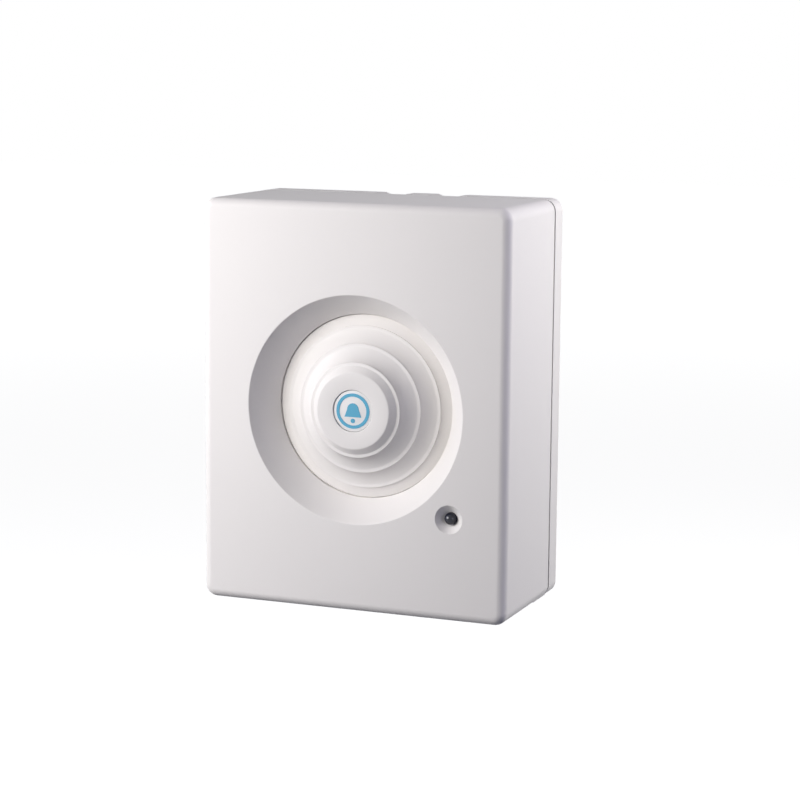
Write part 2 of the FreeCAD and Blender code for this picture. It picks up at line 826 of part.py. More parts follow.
def sounder_housing():
    """Cup that holds the sounder's disc, on three legs."""
    back = sounder_back_y
    bore = sounder_radius - sounder_wall
    shelf_y = back - sounder_wall - sounder_shelf_height
    solid = turned([
        (0.0, back),
        (sounder_radius, back),
        (sounder_radius, sounder_front_y),
        (bore, sounder_front_y),
        (bore, shelf_y),
        (bore - sounder_shelf_width, shelf_y),
        (bore - sounder_shelf_width, back - sounder_wall),
        (0.0, back - sounder_wall),
    ])
    for degrees in (30, 150, 270):
        x, z = on_circle(sounder_leg_circle, degrees)
        solid = solid.fuse(rod_y(sounder_leg_radius, (back - TINY, board_front_y), x, z))
    return solid.removeSplitter()


def piezo_rear_y():
    """Rear face of the sounder's disc, where it rests on the cup's shelf."""
    return sounder_back_y - sounder_wall - sounder_shelf_height


def piezo_plate():
    """Thin brass disc on the cup's shelf."""
    rear = piezo_rear_y()
    return rod_y(sounder_radius - sounder_wall - sounder_fit, (rear - piezo_thickness, rear))


def piezo_ceramic():
    """Ceramic disc bonded to the back of the brass one."""
    rear = piezo_rear_y()
    return rod_y(ceramic_radius, (rear, rear + ceramic_thickness))


def sounder_horn():
    """Insert that clamps the disc and flares to the sounder's mouth."""
    outer = sounder_radius - sounder_wall - sounder_fit
    rear = piezo_rear_y() - piezo_thickness
    chamber = rear - sounder_chamber_height
    return turned([
        (outer, rear),
        (outer, sounder_front_y),
        (sounder_mouth_radius, sounder_front_y),
        (sounder_throat_radius, chamber - sounder_throat_height),
        (sounder_throat_radius, chamber),
        (outer - sounder_shelf_width, chamber),
        (outer - sounder_shelf_width, rear),
    ])


def sounder_gasket():
    """Foam ring between the sounder's mouth and the cover's recess floor."""
    y = (sounder_front_y - gasket_thickness, sounder_front_y)
    return tube_y(sounder_radius, sounder_radius - gasket_width, y)


def sounder_pins():
    """Two pins that join the sounder to the board."""
    places = around(dome_x, sounder_pin_spacing)
    return [rod_y(sounder_pin_radius, (sounder_back_y, board_front_y), x, dome_z) for x in places]


def led_seat_y():
    """Rear of the status light, on top of its spacer."""
    return lens_rear_y + led_gap + led_height


def status_led():
    """Round light with a domed tip, facing the light pipe."""
    seat = led_seat_y()
    tip = seat - led_height + led_radius
    solid = rod_y(led_radius, (tip, seat), indicator_x, indicator_z)
    solid = solid.fuse(Part.makeSphere(led_radius, Vector(indicator_x, tip, indicator_z)))
    flange = rod_y(led_flange_radius, (seat - led_flange_thickness, seat), indicator_x, indicator_z)
    return solid.fuse(flange).removeSplitter()


def led_spacer():
    """Tube that stands the status light off the board."""
    return tube_y(spacer_radius, spacer_bore_radius, (led_seat_y(), board_front_y), indicator_x, indicator_z)


def learn_switch():
    """Square switch body with a round guide for its plunger."""
    front = board_front_y - switch_height
    solid = block(around(learn_x, switch_width), (front, board_front_y), around(learn_z, switch_width))
    guide_y = (front - 1, front + plunger_sunk + plunger_travel + plunger_clearance)
    return solid.cut(rod_y(plunger_radius + plunger_clearance, guide_y, learn_x, learn_z))


def learn_button():
    """Plunger of the learn switch."""
    front = board_front_y - switch_height
    solid = rod_y(plunger_radius, (front - plunger_proud, front + plunger_sunk), learn_x, learn_z)
    rim = [edge for edge in solid.Edges if edge.BoundBox.YMax < front - plunger_proud + TINY]
    return solid.makeFillet(plunger_radius * 0.2, rim)


def dip_columns():
    """X of each sliding lever."""
    first = dip_x - dip_pitch * (dip_count - 1) / 2
    return [first + dip_pitch * index for index in range(dip_count)]


def dip_switch():
    """Switch block with one window for each lever."""
    front = board_front_y - dip_height
    width = dip_pitch * dip_count + dip_end_margin
    length = dip_lever_size + 2 * dip_clearance + dip_travel + 2 * dip_side_wall
    solid = block(around(dip_x, width), (front, board_front_y), around(dip_z, length))
    opening = dip_lever_size + 2 * dip_clearance
    run = opening + dip_travel
    window_y = (front - PAST, front + dip_window_depth)
    for x in dip_columns():
        solid = solid.cut(block(around(x, opening), window_y, around(dip_z, run)))
    return solid


def dip_lever(x):
    """Lever at the lower end of its window."""
    front = board_front_y - dip_height
    z = dip_z - dip_travel / 2
    lever_y = (front - dip_lever_proud, front + dip_window_depth - dip_clearance)
    return block(around(x, dip_lever_size), lever_y, around(z, dip_lever_size))


def volume_trimmer():
    """Square body of the volume control, with a round seat for its rotor."""
    front = board_front_y - trimmer_height
    solid = block(around(trimmer_x, trimmer_width), (front, board_front_y), around(trimmer_z, trimmer_width))
    seat_y = (front - 1, front + rotor_sunk)
    return solid.cut(rod_y(rotor_radius + rotor_clearance, seat_y, trimmer_x, trimmer_z))


def volume_rotor():
    """Round rotor with a cross slot and a pointer notch."""
    front = board_front_y - trimmer_height
    rear = front + rotor_sunk - rotor_clearance
    top = front - rotor_proud
    solid = rod_y(rotor_radius, (top, rear), trimmer_x, trimmer_z)
    slot_y = (top - 1, top + rotor_slot_depth)
    reach = 1.4 * rotor_radius
    for width, height in ((reach, rotor_slot_width), (rotor_slot_width, reach)):
        solid = solid.cut(block(around(trimmer_x, width), slot_y, around(trimmer_z, height)))
    notch_z = (trimmer_z + 0.75 * rotor_radius, trimmer_z + rotor_radius + 1)
    return solid.cut(block(around(trimmer_x, rotor_slot_width), (top - 1, front + TINY), notch_z))


def radio_rear_y():
    """Rear face of the radio module's board."""
    return board_front_y - radio_standoff


def radio_board():
    """Small board of the radio module, carried on its pins."""
    rear = radio_rear_y()
    return block(around(radio_x, radio_width), (rear - radio_thickness, rear), around(radio_z, radio_length))


def radio_can():
    """Screening can on the radio module."""
    rear = radio_rear_y() - radio_thickness
    z = radio_z - radio_length / 2 + radio_can_length / 2 + radio_edge
    y = (rear - radio_can_height, rear)
    solid = block(around(radio_x, radio_can_width), y, around(z, radio_can_length))
    front = [edge for edge in solid.Edges if edge.BoundBox.YMax < y[0] + TINY]
    return solid.makeFillet(radio_can_fillet, front)


def radio_pins():
    """Pins that carry the radio module on the main board."""
    x = radio_x - radio_width / 2 + radio_pin_inset
    pitch = (radio_length - 2 * radio_edge) / (radio_pin_count - 1)
    start = radio_z - radio_length / 2 + radio_edge
    places = [start + pitch * index for index in range(radio_pin_count)]
    return [rod_y(radio_pin_radius, (radio_rear_y(), board_front_y), x, z) for z in places]


def antenna_wire():
    """Wire aerial: out of the radio board, up past its top edge and along the top of the case."""
    y = radio_rear_y() - radio_thickness - antenna_radius
    x = radio_x + radio_width / 2 - antenna_inset
    low = radio_z + radio_length / 2 - antenna_overlap
    high = radio_z + radio_length / 2 + antenna_rise
    return bent_rod([(x, y, low), (x, y, high), (x - antenna_run, y, high)], antenna_radius)


def microcontroller():
    """Flat chip with a row of legs down each side."""
    front = board_front_y - chip_height
    body_y = (front, board_front_y - chip_leg_thickness)
    solid = block(around(chip_x, chip_width), body_y, around(chip_z, chip_length))
    start = chip_z - chip_leg_pitch * (chip_leg_count - 1) / 2
    foot_y = (board_front_y - chip_leg_thickness, board_front_y)
    shoulder_y = (board_front_y - chip_height / 2, board_front_y)
    for index in range(chip_leg_count):
        z = around(start + chip_leg_pitch * index, chip_leg_width)
        foot = block(around(chip_x, chip_width + 2 * chip_leg_reach), foot_y, z)
        shoulder = block(around(chip_x, chip_width + 2 * chip_leg_shoulder), shoulder_y, z)
        solid = solid.fuse([foot, shoulder])
    return solid.removeSplitter()


def crystal_can():
    """Oval metal can of the crystal."""
    end = crystal_length / 2
    y = (board_front_y - crystal_height, board_front_y)
    half = crystal_width / 2 - end
    solid = block((crystal_x - half, crystal_x + half), y, around(crystal_z, crystal_length))
    for x in (crystal_x - half, crystal_x + half):
        solid = solid.fuse(rod_y(end, y, x, crystal_z))
    return solid.removeSplitter()


def inductor():
    """Drum core with a winding between its flanges."""
    y = board_front_y
    top = y - coil_height
    core = turned([
        (0.0, y),
        (coil_radius, y),
        (coil_radius, y - coil_flange),
        (coil_core_radius, y - coil_flange),
        (coil_core_radius, top + coil_flange),
        (coil_radius, top + coil_flange),
        (coil_radius, top),
        (0.0, top),
    ], coil_x, coil_z)
    return core


def coil_winding():
    """Winding on the inductor's core."""
    y = (board_front_y - coil_height + coil_flange, board_front_y - coil_flange)
    return tube_y(coil_radius - coil_winding_sunk, coil_core_radius, y, coil_x, coil_z)


def capacitors():
    """Two tall round capacitors with rolled tops."""
    cans = []
    top = board_front_y - capacitor_height
    for from_left, from_bottom in capacitor_places:
        x = board_left + from_left
        z = board_bottom + from_bottom
        can = rod_y(capacitor_radius, (top, board_front_y), x, z)
        rim = [edge for edge in can.Edges if edge.BoundBox.YMax < top + TINY]
        cans.append(can.makeFillet(capacitor_radius * 0.15, rim))
    return cans


def chip_parts():
    """Small resistors and capacitors on the board."""
    width, height, length = small_chip_size
    y = (board_front_y - height, board_front_y)
    places = [(board_left + x, board_top - z) for x, z in upper_left_chips]
    places += [(board_left + x, board_bottom + z) for x, z in lower_left_chips]
    places += [(board_right - x, board_top - z) for x, z in right_hand_chips]
    return [block(around(x, width), y, around(z, length)) for x, z in places]


def battery_header():
    """Open-topped socket on the board for the battery plug."""
    y = (board_front_y - header_height, board_front_y)
    solid = block(around(header_x, header_width), y, around(header_z, header_length))
    inside_x = around(header_x, header_width - 2 * header_wall)
    inside_z = around(header_z, header_length - 2 * header_wall)
    return solid.cut(block(inside_x, (y[0] - 1, y[1] - header_wall), inside_z))


def battery_plug():
    """Plug in the header, with the two leads in its upper side."""
    y = (board_front_y - header_height - plug_proud, board_front_y - header_wall - plug_gap)
    width = header_width - 2 * header_wall - 2 * plug_gap
    length = header_length - 2 * header_wall - 2 * plug_gap
    return block(around(header_x, width), y, around(header_z, length))


def battery_lead(side):
    """Lead from the top of the battery holder to the plug; side is -1 or 1."""
    length = header_length - 2 * header_wall - 2 * plug_gap
    y = board_front_y - header_height - plug_proud / 2
    holder_x = cell_columns[1] + side * lead_pitch
    plug_x = header_x - side * lead_pitch / 2
    height = holder_top + lead_rise - side * lead_pitch / 2
    end_z = header_z + length / 2
    points = [(holder_x, y, holder_top), (holder_x, y, height), (plug_x, y, height), (plug_x, y, end_z)]
    return bent_rod(points, lead_radius)


def main():
    """Build and write every sub-part."""
    os.makedirs("parts", exist_ok=True)
    save("front_cover", front_cover())
    save("sounder_dome", sounder_dome())
    save("dome_screws", *dome_screws())
    save("centre_badge", centre_badge())
    save("badge_symbol", *badge_symbol())
    save("indicator_lens", indicator_lens())
    save("lens_retainer", lens_retainer())
    save("back_plate", back_plate())
    save("battery_holder", battery_holder())
    save("holder_screws", *holder_screws())
    for number, place in enumerate(battery_places(), 1):
        save("battery_cell_" + str(number), battery_cell(*place))
    save("positive_contacts", *[positive_contact(*place) for place in battery_places()])
    save("leaf_springs", *[leaf_spring(*place) for place in battery_places()])
    save("battery_lead_red", battery_lead(1))
    save("battery_lead_black", battery_lead(-1))
    save("battery_plug", battery_plug())
    save("battery_header", battery_header())
    save("main_board", main_board())
    save("board_screws", *board_screws())
    save("sounder_housing", sounder_housing())
    save("piezo_plate", piezo_plate())
    save("piezo_ceramic", piezo_ceramic())
    save("sounder_horn", sounder_horn())
    save("sounder_gasket", sounder_gasket())
    save("sounder_pins", *sounder_pins())
    save("status_led", status_led())
    save("led_spacer", led_spacer())
    save("learn_switch", learn_switch())
    save("learn_button", learn_button())
    save("dip_switch", dip_switch())
    for number, x in enumerate(dip_columns(), 1):
        save("dip_lever_" + str(number), dip_lever(x))
    save("volume_trimmer", volume_trimmer())
    save("volume_rotor", volume_rotor())
    save("radio_board", radio_board())
    save("radio_can", radio_can())
    save("radio_pins", *radio_pins())
    save("antenna_wire", antenna_wire())
    save("microcontroller", microcontroller())
    save("crystal_can", crystal_can())
    save("inductor_core", inductor())
    save("coil_winding", coil_winding())
    save("capacitors", *capacitors())
    save("chip_parts", *chip_parts())


main()
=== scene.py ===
"""Looks of a wall-mounted radio doorbell sounder: its moulded box, stepped louvre and everything inside.

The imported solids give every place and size. Each class below dresses one sub-assembly: it models the pieces
that show, in metres and in the same frame as the solids, and finishes the rest with its own materials.
"""

import logging
import math
from contextlib import contextmanager
from dataclasses import dataclass
from enum import Enum
from typing import Callable, Iterable, Iterator, Optional, Sequence

import bmesh
import bpy
from mathutils import Matrix, Vector

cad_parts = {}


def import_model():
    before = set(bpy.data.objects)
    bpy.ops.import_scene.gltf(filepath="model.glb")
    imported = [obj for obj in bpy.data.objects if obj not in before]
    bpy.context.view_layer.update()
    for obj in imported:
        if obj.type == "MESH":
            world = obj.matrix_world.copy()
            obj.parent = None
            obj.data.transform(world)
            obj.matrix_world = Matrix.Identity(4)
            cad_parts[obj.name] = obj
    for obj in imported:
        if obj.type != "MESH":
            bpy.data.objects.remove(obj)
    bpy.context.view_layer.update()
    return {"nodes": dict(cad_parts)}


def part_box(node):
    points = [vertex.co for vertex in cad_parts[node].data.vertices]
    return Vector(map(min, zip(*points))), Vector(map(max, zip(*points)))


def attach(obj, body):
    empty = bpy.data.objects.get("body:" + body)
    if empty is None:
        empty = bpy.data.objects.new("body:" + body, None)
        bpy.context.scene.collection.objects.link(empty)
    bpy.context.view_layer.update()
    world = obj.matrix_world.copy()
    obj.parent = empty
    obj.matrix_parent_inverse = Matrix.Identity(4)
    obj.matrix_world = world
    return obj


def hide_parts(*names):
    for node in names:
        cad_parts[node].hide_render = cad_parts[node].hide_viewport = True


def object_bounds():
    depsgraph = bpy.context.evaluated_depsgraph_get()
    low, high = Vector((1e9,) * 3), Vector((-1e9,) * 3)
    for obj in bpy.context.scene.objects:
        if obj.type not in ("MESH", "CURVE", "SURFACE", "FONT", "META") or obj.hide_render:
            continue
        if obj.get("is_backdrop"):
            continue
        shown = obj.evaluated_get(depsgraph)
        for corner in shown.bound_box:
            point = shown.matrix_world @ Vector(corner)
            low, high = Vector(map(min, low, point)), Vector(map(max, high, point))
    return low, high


LOG = logging.getLogger("sounder")
MM = 0.001
NEAR = 1e-5  # metres: a place this close to an axis or a plane counts as on it
WELD = 2e-6  # metres: corners closer than this are one corner
CREASE = 32.0  # degrees: where two faces meet at more than this, a solid's edge is a sharp one
Point = tuple[float, float]
Corner = tuple[float, float, float]
Colour = tuple[float, float, float]
Piece = bpy.types.Object
Socket = bpy.types.NodeSocket


class Body(Enum):
    """The moving bodies that pieces ride on."""

    BASE = "base"
    COVER = "cover"


class Surface(Enum):
    """How a moulded surface was finished in its tool: its roughness and the depth of its grain."""

    SPARKED = (0.52, 0.09)
    SATIN = (0.38, 0.04)
    POLISHED = (0.12, 0.004)


class Axis(Enum):
    """Which way the axis of a turned piece runs."""

    DEPTH = "y"
    HEIGHT = "z"


def millimetres(*values: float) -> tuple[float, ...]:
    """Lengths in millimetres, given in metres."""
    return tuple(value * MM for value in values)


def middle_of(low: Sequence[float], high: Sequence[float]) -> Point:
    """(x, z) of the middle between two corners."""
    return (low[0] + high[0]) / 2, (low[2] + high[2]) / 2


def set_back(points: Iterable[Point], face: float) -> list[Point]:
    """(radius, depth) points in millimetres, given in metres, with the depths counted from a face."""
    return [(radius * MM, face + depth * MM) for radius, depth in points]


def select_none() -> None:
    """Leave nothing selected and no object in edit mode."""
    if bpy.context.object and bpy.context.object.mode != "OBJECT":
        bpy.ops.object.mode_set(mode="OBJECT")
    bpy.ops.object.select_all(action="DESELECT")


def only(piece: Piece) -> None:
    """Select one object and make it the active one."""
    select_none()
    piece.select_set(True)
    bpy.context.view_layer.objects.active = piece


@contextmanager
def editing(piece: Piece) -> Iterator[None]:
    """Edit one piece's mesh, with all of it selected at the start."""
    only(piece)
    bpy.ops.object.mode_set(mode="EDIT")
    bpy.ops.mesh.select_all(action="SELECT")
    yield
    bpy.ops.object.mode_set(mode="OBJECT")


def settle(piece: Piece, name: str) -> Piece:
    """Name a piece and apply its place, turn and scale to its mesh, so that it stands at the origin."""
    only(piece)
    bpy.ops.object.transform_apply(location=True, rotation=True, scale=True)
    piece.name = name
    piece.data.name = name
    return piece


def smooth(piece: Piece, degrees: float = 35.0) -> Piece:
    """Shade a piece smoothly where its faces meet at less than an angle."""
    only(piece)
    bpy.ops.object.shade_smooth_by_angle(angle=math.radians(degrees))
    return piece


def apply_modifier(piece: Piece, kind: str, **settings: object) -> None:
    """Add one modifier with its settings and apply it."""
    only(piece)
    modifier = piece.modifiers.new(kind.lower(), kind)
    for key, value in settings.items():
        setattr(modifier, key, value)
    bpy.ops.object.modifier_apply(modifier=modifier.name)


def carve(piece: Piece, tool: Piece, operation: str = "DIFFERENCE") -> None:
    """Cut a tool's shape from a piece, or join it on, and delete the tool."""
    apply_modifier(piece, "BOOLEAN", operation=operation, object=tool, solver="EXACT")
    bpy.data.objects.remove(tool)


def pick(piece: Piece, kind: str, test: Callable[[object], bool]) -> None:
    """In edit mode, select only the elements of one kind, FACE or EDGE, that pass a test."""
    bpy.ops.mesh.select_mode(type=kind)
    bpy.ops.mesh.select_all(action="DESELECT")
    mesh = bmesh.from_edit_mesh(piece.data)
    for element in mesh.faces if kind == "FACE" else mesh.edges:
        element.select_set(test(element))
    bmesh.update_edit_mesh(piece.data)


def eased(corners: Sequence[Corner], steps: int = 5) -> list[Point]:
    """Round the corners of an open outline.

    Args:
        corners: (radius, y, rounding) of each corner; the rounding is 0 where the corner stays sharp.
        steps: how many points each rounded corner gets, less one.

    Returns:
        The outline's (radius, y) points.
    """
    nearly_straight = math.radians(89.5)
    side_share = 0.48
    points: list[Point] = []
    for index, (x, y, rounding) in enumerate(corners):
        if rounding <= 0 or index in (0, len(corners) - 1):
            points.append((x, y))
            continue
        corner = Vector((x, y))
        back = Vector(corners[index - 1][:2]) - corner
        ahead = Vector(corners[index + 1][:2]) - corner
        half = back.angle(ahead) / 2
        if half > nearly_straight:
            points.append((x, y))
            continue
        setback = min(rounding / math.tan(half), side_share * back.length, side_share * ahead.length)
        radius = setback * math.tan(half)
        centre = corner + (back.normalized() + ahead.normalized()).normalized() * radius / math.sin(half)
        start = corner + back.normalized() * setback - centre
        turn = -start.angle_signed(corner + ahead.normalized() * setback - centre)
        for step in range(steps + 1):
            points.append(tuple(centre + Matrix.Rotation(turn * step / steps, 2) @ start))
    return points


def drum(radius: float, start: float, end: float) -> list[Point]:
    """Outline of a plain cylinder between two places along its axis."""
    return [(0.0, start), (radius, start), (radius, end), (0.0, end)]


def lathe(
    name: str, outline: Sequence[Point], centre: Point, sides: int, closed: bool = False,
    axis: Axis = Axis.DEPTH,
) -> Piece:
    """Turn an outline by extruding a circle ring by ring along its axis.

    Args:
        name: the piece's name.
        outline: (radius, place along the axis) points in metres. An end on the axis becomes a pole.
        centre: the axis's two other coordinates.
        sides: how many sides the circle has.
        closed: joins the last ring to the first, as on a ring with no pole.
        axis: which way the axis runs.

    Returns:
        The turned piece, with its faces pointing outwards.
    """
    def laid(across: Point, along: float) -> Corner:
        return (*across, along) if axis is Axis.HEIGHT else (across[0], along, across[1])

    radius, along = max(outline[0][0], NEAR), outline[0][1]
    turn = (0.0 if axis is Axis.HEIGHT else math.pi / 2, 0.0, 0.0)
    pole_width = 2.2 * NEAR
    select_none()
    bpy.ops.mesh.primitive_circle_add(
        vertices=sides, radius=radius, location=laid(centre, along), rotation=turn)
    piece = bpy.context.object
    with editing(piece):
        bpy.ops.mesh.select_mode(type="EDGE")
        bpy.ops.mesh.select_all(action="SELECT")
        for next_radius, next_along in outline[1:]:
            next_radius = max(next_radius, NEAR)
            move = laid((0.0, 0.0), next_along - along)
            bpy.ops.mesh.extrude_edges_move(TRANSFORM_OT_translate={"value": move})
            grow = next_radius / radius
            bpy.ops.transform.resize(value=laid((grow, grow), 1.0), center_override=laid(centre, next_along))
            radius, along = next_radius, next_along
        if closed:
            bpy.ops.mesh.select_all(action="DESELECT")
            bpy.ops.mesh.select_non_manifold()
            bpy.ops.mesh.bridge_edge_loops()
        bpy.ops.mesh.select_all(action="SELECT")
        bpy.ops.mesh.remove_doubles(threshold=pole_width)
        bpy.ops.mesh.normals_make_consistent(inside=False)
    return settle(piece, name)


def box_between(low: Sequence[float], high: Sequence[float]) -> Piece:
    """Sharp-edged block between two corners."""
    select_none()
    bpy.ops.mesh.primitive_cube_add(size=1, location=[(a + b) / 2 for a, b in zip(low, high)])
    piece = bpy.context.object
    piece.scale = [b - a for a, b in zip(low, high)]
    bpy.ops.object.transform_apply(location=True, rotation=True, scale=True)
    return piece


def rounded_bar(
    name: str, low: Sequence[float], high: Sequence[float], bevel: float, segments: int = 3,
) -> Piece:
    """Block between two corners with all its edges rounded."""
    piece = box_between(low, high)
    with editing(piece):
        bpy.ops.mesh.bevel(offset=bevel, segments=segments, affect="EDGES")
    return settle(piece, name)


def dress(piece: Piece, *materials: bpy.types.Material) -> Piece:
    """Give a piece its materials."""
    piece.data.materials.clear()
    for material in materials:
        piece.data.materials.append(material)
    return piece


def paint(piece: Piece, choose: Callable[[Vector], int], *materials: bpy.types.Material) -> None:
    """Give each face of a piece one of several materials, chosen by its middle."""
    dress(piece, *materials)
    for face in piece.data.polygons:
        face.material_index = choose(face.center)


def stand_for(piece: Piece, body: Body, slot: str, *nodes: str) -> None:
    """Let a piece ride on its body in place of the solids it was modelled from.

    Args:
        piece: the finished piece.
        body: what it moves with.
        slot: not used.
        nodes: the solids that it stands for.
    """
    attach(piece, body.value)
    if nodes:
        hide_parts(*nodes)
    LOG.info("%s rides on %s, %d faces", piece.name, body.value, len(piece.data.polygons))


def linked(name: str, data: bpy.types.ID) -> Piece:
    """New object of a mesh, a lamp or a camera, in the scene."""
    piece = bpy.data.objects.new(name, data)
    bpy.context.collection.objects.link(piece)
    return piece


def softened(node: Piece, name: str, width: float) -> Piece:
    """Copy a solid, join its loose triangles and break its sharp edges as a mould or a tumbler does.

    Args:
        node: the solid's object, which stays as it is.
        name: the new piece's name.
        width: how wide the broken edges are, in millimetres, or 0 to leave them.

    Returns:
        The finished copy.
    """
    flat = math.radians(0.6)
    piece = linked(name, node.data.copy())
    with editing(piece):
        bpy.ops.mesh.remove_doubles(threshold=WELD)
        bpy.ops.mesh.dissolve_limited(angle_limit=flat)
    if width:
        apply_modifier(
            piece, "BEVEL", width=width * MM, segments=2, limit_method="ANGLE",
            angle_limit=math.radians(CREASE), use_clamp_overlap=True)
    smooth(piece, CREASE)
    apply_modifier(piece, "WEIGHTED_NORMAL", keep_sharp=True)
    return settle(piece, name)


def islands(piece: Piece) -> list[tuple[Vector, Vector]]:
    """Lowest and highest corners of each separate body of a mesh."""
    mesh = bmesh.new()
    mesh.from_mesh(piece.data)
    bmesh.ops.remove_doubles(mesh, verts=mesh.verts, dist=WELD)
    left = set(mesh.verts)
    boxes = []
    while left:
        queue = [left.pop()]
        low = queue[0].co.copy()
        high = queue[0].co.copy()
        while queue:
            vert = queue.pop()
            low = Vector(map(min, low, vert.co))
            high = Vector(map(max, high, vert.co))
            for edge in vert.link_edges:
                other = edge.other_vert(vert)
                if other in left:
                    left.remove(other)
                    queue.append(other)
        boxes.append((low, high))
    mesh.free()
    return sorted(boxes, key=lambda box: (round(box[0].z, 5), round(box[0].x, 5)))


def joined(name: str, pieces: Sequence[Piece]) -> Piece:
    """Join separate meshes into one object, which keeps all their materials."""
    select_none()
    for piece in pieces:
        piece.select_set(True)
    bpy.context.view_layer.objects.active = pieces[0]
    bpy.ops.object.join()
    return settle(pieces[0], name)


def full(colour: Iterable[float]) -> tuple[float, ...]:
    """A colour with its opacity."""
    return (*colour, 1.0)


class Graph:
    """A material's or a node group's nodes, with short ways to add and join them."""

    def __init__(self, tree: bpy.types.NodeTree) -> None:
        """Take an empty node tree."""
        self.tree = tree
        tree.nodes.clear()

    def add(self, kind: str, values: Optional[dict] = None, **settings: object) -> bpy.types.Node:
        """Add a node.

        Args:
            kind: the node's type name.
            values: what its sockets hold, or the outputs that they are joined to.
            settings: the node's own properties.

        Returns:
            The new node.
        """
        node = self.tree.nodes.new(kind)
        for key, value in settings.items():
            setattr(node, key, value)
        for key, value in (values or {}).items():
            socket = node.inputs[key]
            if isinstance(value, Socket):
                self.tree.links.new(value, socket)
            else:
                socket.default_value = value
        return node

    def maths(self, operation: str, first: object, second: object = 0.0) -> Socket:
        """Output of a Math node on two values or outputs."""
        return self.add("ShaderNodeMath", {0: first, 1: second}, operation=operation).outputs[0]

    def blend(self, factor: object, first: object, second: object) -> Socket:
        """Output of a colour mix between two colours or outputs."""
        return self.add("ShaderNodeMix", {0: factor, 6: first, 7: second}, data_type="RGBA").outputs[2]

    def place(self) -> Socket:
        """Place of the shaded point on its object."""
        return self.add("ShaderNodeTexCoord").outputs["Object"]

    def noise(self, where: Socket, scale: object, detail: float) -> Socket:
        """Level of a cloudy noise."""
        values = {"Vector": where, "Scale": scale, "Detail": detail}
        return self.add("ShaderNodeTexNoise", values).outputs["Fac"]

    def cells(self, where: Socket, scale: float, distance: str = "EUCLIDEAN") -> bpy.types.NodeOutputs:
        """Outputs of a cell pattern: the distance to each cell's point, and the cell's own colour."""
        values = {"Vector": where, "Scale": scale}
        return self.add("ShaderNodeTexVoronoi", values, feature="F1", distance=distance).outputs

    def spread(self, value: Socket, to: Point = (0.0, 1.0), given: Point = (0.0, 1.0)) -> Socket:
        """A value moved from one span to another."""
        return self.add("ShaderNodeMapRange", {
            "Value": value, "From Min": given[0], "From Max": given[1], "To Min": to[0], "To Max": to[1],
        }).outputs["Result"]

    def bump(self, strength: float, depth: float, height: Socket) -> Socket:
        """Normal of a surface raised by a height."""
        values = {"Strength": strength, "Distance": depth, "Height": height}
        return self.add("ShaderNodeBump", values).outputs["Normal"]

    def seen(self) -> Socket:
        """1 for rays from the camera, off a gloss or through a clear piece, and 0 for all other light."""
        path = self.add("ShaderNodeLightPath").outputs
        direct = self.maths("ADD", path["Is Camera Ray"], path["Is Transmission Ray"])
        return self.maths("MINIMUM", self.maths("ADD", direct, path["Is Glossy Ray"]), 1.0)

    def give(self, kind: str, values: dict) -> bpy.types.NodeTree:
        """Add the output node and give the finished tree."""
        self.add(kind, values)
        return self.tree


def named_group(name: str, inputs: dict[str, float], outputs: Sequence[str]) -> Graph:
    """Start a node group with named number sockets."""
    tree = bpy.data.node_groups.new(name, "ShaderNodeTree")
    for label, default in inputs.items():
        socket = tree.interface.new_socket(name=label, in_out="INPUT", socket_type="NodeSocketFloat")
        socket.default_value = default
    for label in outputs:
        tree.interface.new_socket(name=label, in_out="OUTPUT", socket_type="NodeSocketFloat")
    return Graph(tree)


def moulding_group() -> bpy.types.NodeTree:
    """Node group of a moulded skin: a fine tool grain, a slow mottle and scattered dust."""
    name = "moulded_skin"
    if name in bpy.data.node_groups:
        return bpy.data.node_groups[name]
    inputs = {"Grain Size": 1200.0, "Mottle Size": 14.0, "Dust Amount": 0.3}
    graph = named_group(name, inputs, ("Grain", "Mottle", "Dust"))
    given = graph.add("NodeGroupInput").outputs
    where = graph.place()
    speck_scale, speck_radius = 420.0, 0.05
    patch_scale, patch_floor = 35.0, 0.62
    near = graph.maths("LESS_THAN", graph.cells(where, speck_scale)["Distance"], speck_radius)
    patchy = graph.maths("GREATER_THAN", graph.noise(where, patch_scale, detail=2.0), patch_floor)
    return graph.give("NodeGroupOutput", {
        "Grain": graph.noise(where, given["Grain Size"], detail=3.0),
        "Mottle": graph.noise(where, given["Mottle Size"], detail=4.0),
        "Dust": graph.maths("MULTIPLY", graph.maths("MULTIPLY", near, patchy), given["Dust Amount"])})


def wear_group() -> bpy.types.NodeTree:
    """Node group of handled edges: a mask that grows on sharp outer edges, broken up by noise."""
    name = "edge_wear"
    if name in bpy.data.node_groups:
        return bpy.data.node_groups[name]
    graph = named_group(name, {"Reach": 0.5}, ("Wear",))
    given = graph.add("NodeGroupInput").outputs
    sharp_span, break_scale = (0.52, 0.60), 180.0
    point = graph.add("ShaderNodeNewGeometry").outputs["Pointiness"]
    edge = graph.spread(point, given=sharp_span)
    broken = graph.maths("MULTIPLY", edge, graph.noise(graph.place(), break_scale, detail=5.0))
    return graph.give("NodeGroupOutput", {"Wear": graph.maths("MULTIPLY", broken, given["Reach"])})


@dataclass(frozen=True)
class Finish:
    """A procedural finish with its own material."""

    name: str

    def shader(self, graph: Graph) -> bpy.types.Node:
        """Add the finish's nodes and give its shader."""
        raise NotImplementedError

    def material(self) -> bpy.types.Material:
        """The finish's material, made once."""
        found = bpy.data.materials.get(self.name)
        if found:
            return found
        material = bpy.data.materials.new(self.name)
        material.use_nodes = True
        graph = Graph(material.node_tree)
        graph.give("ShaderNodeOutputMaterial", {"Surface": self.shader(graph).outputs[0]})
        return material


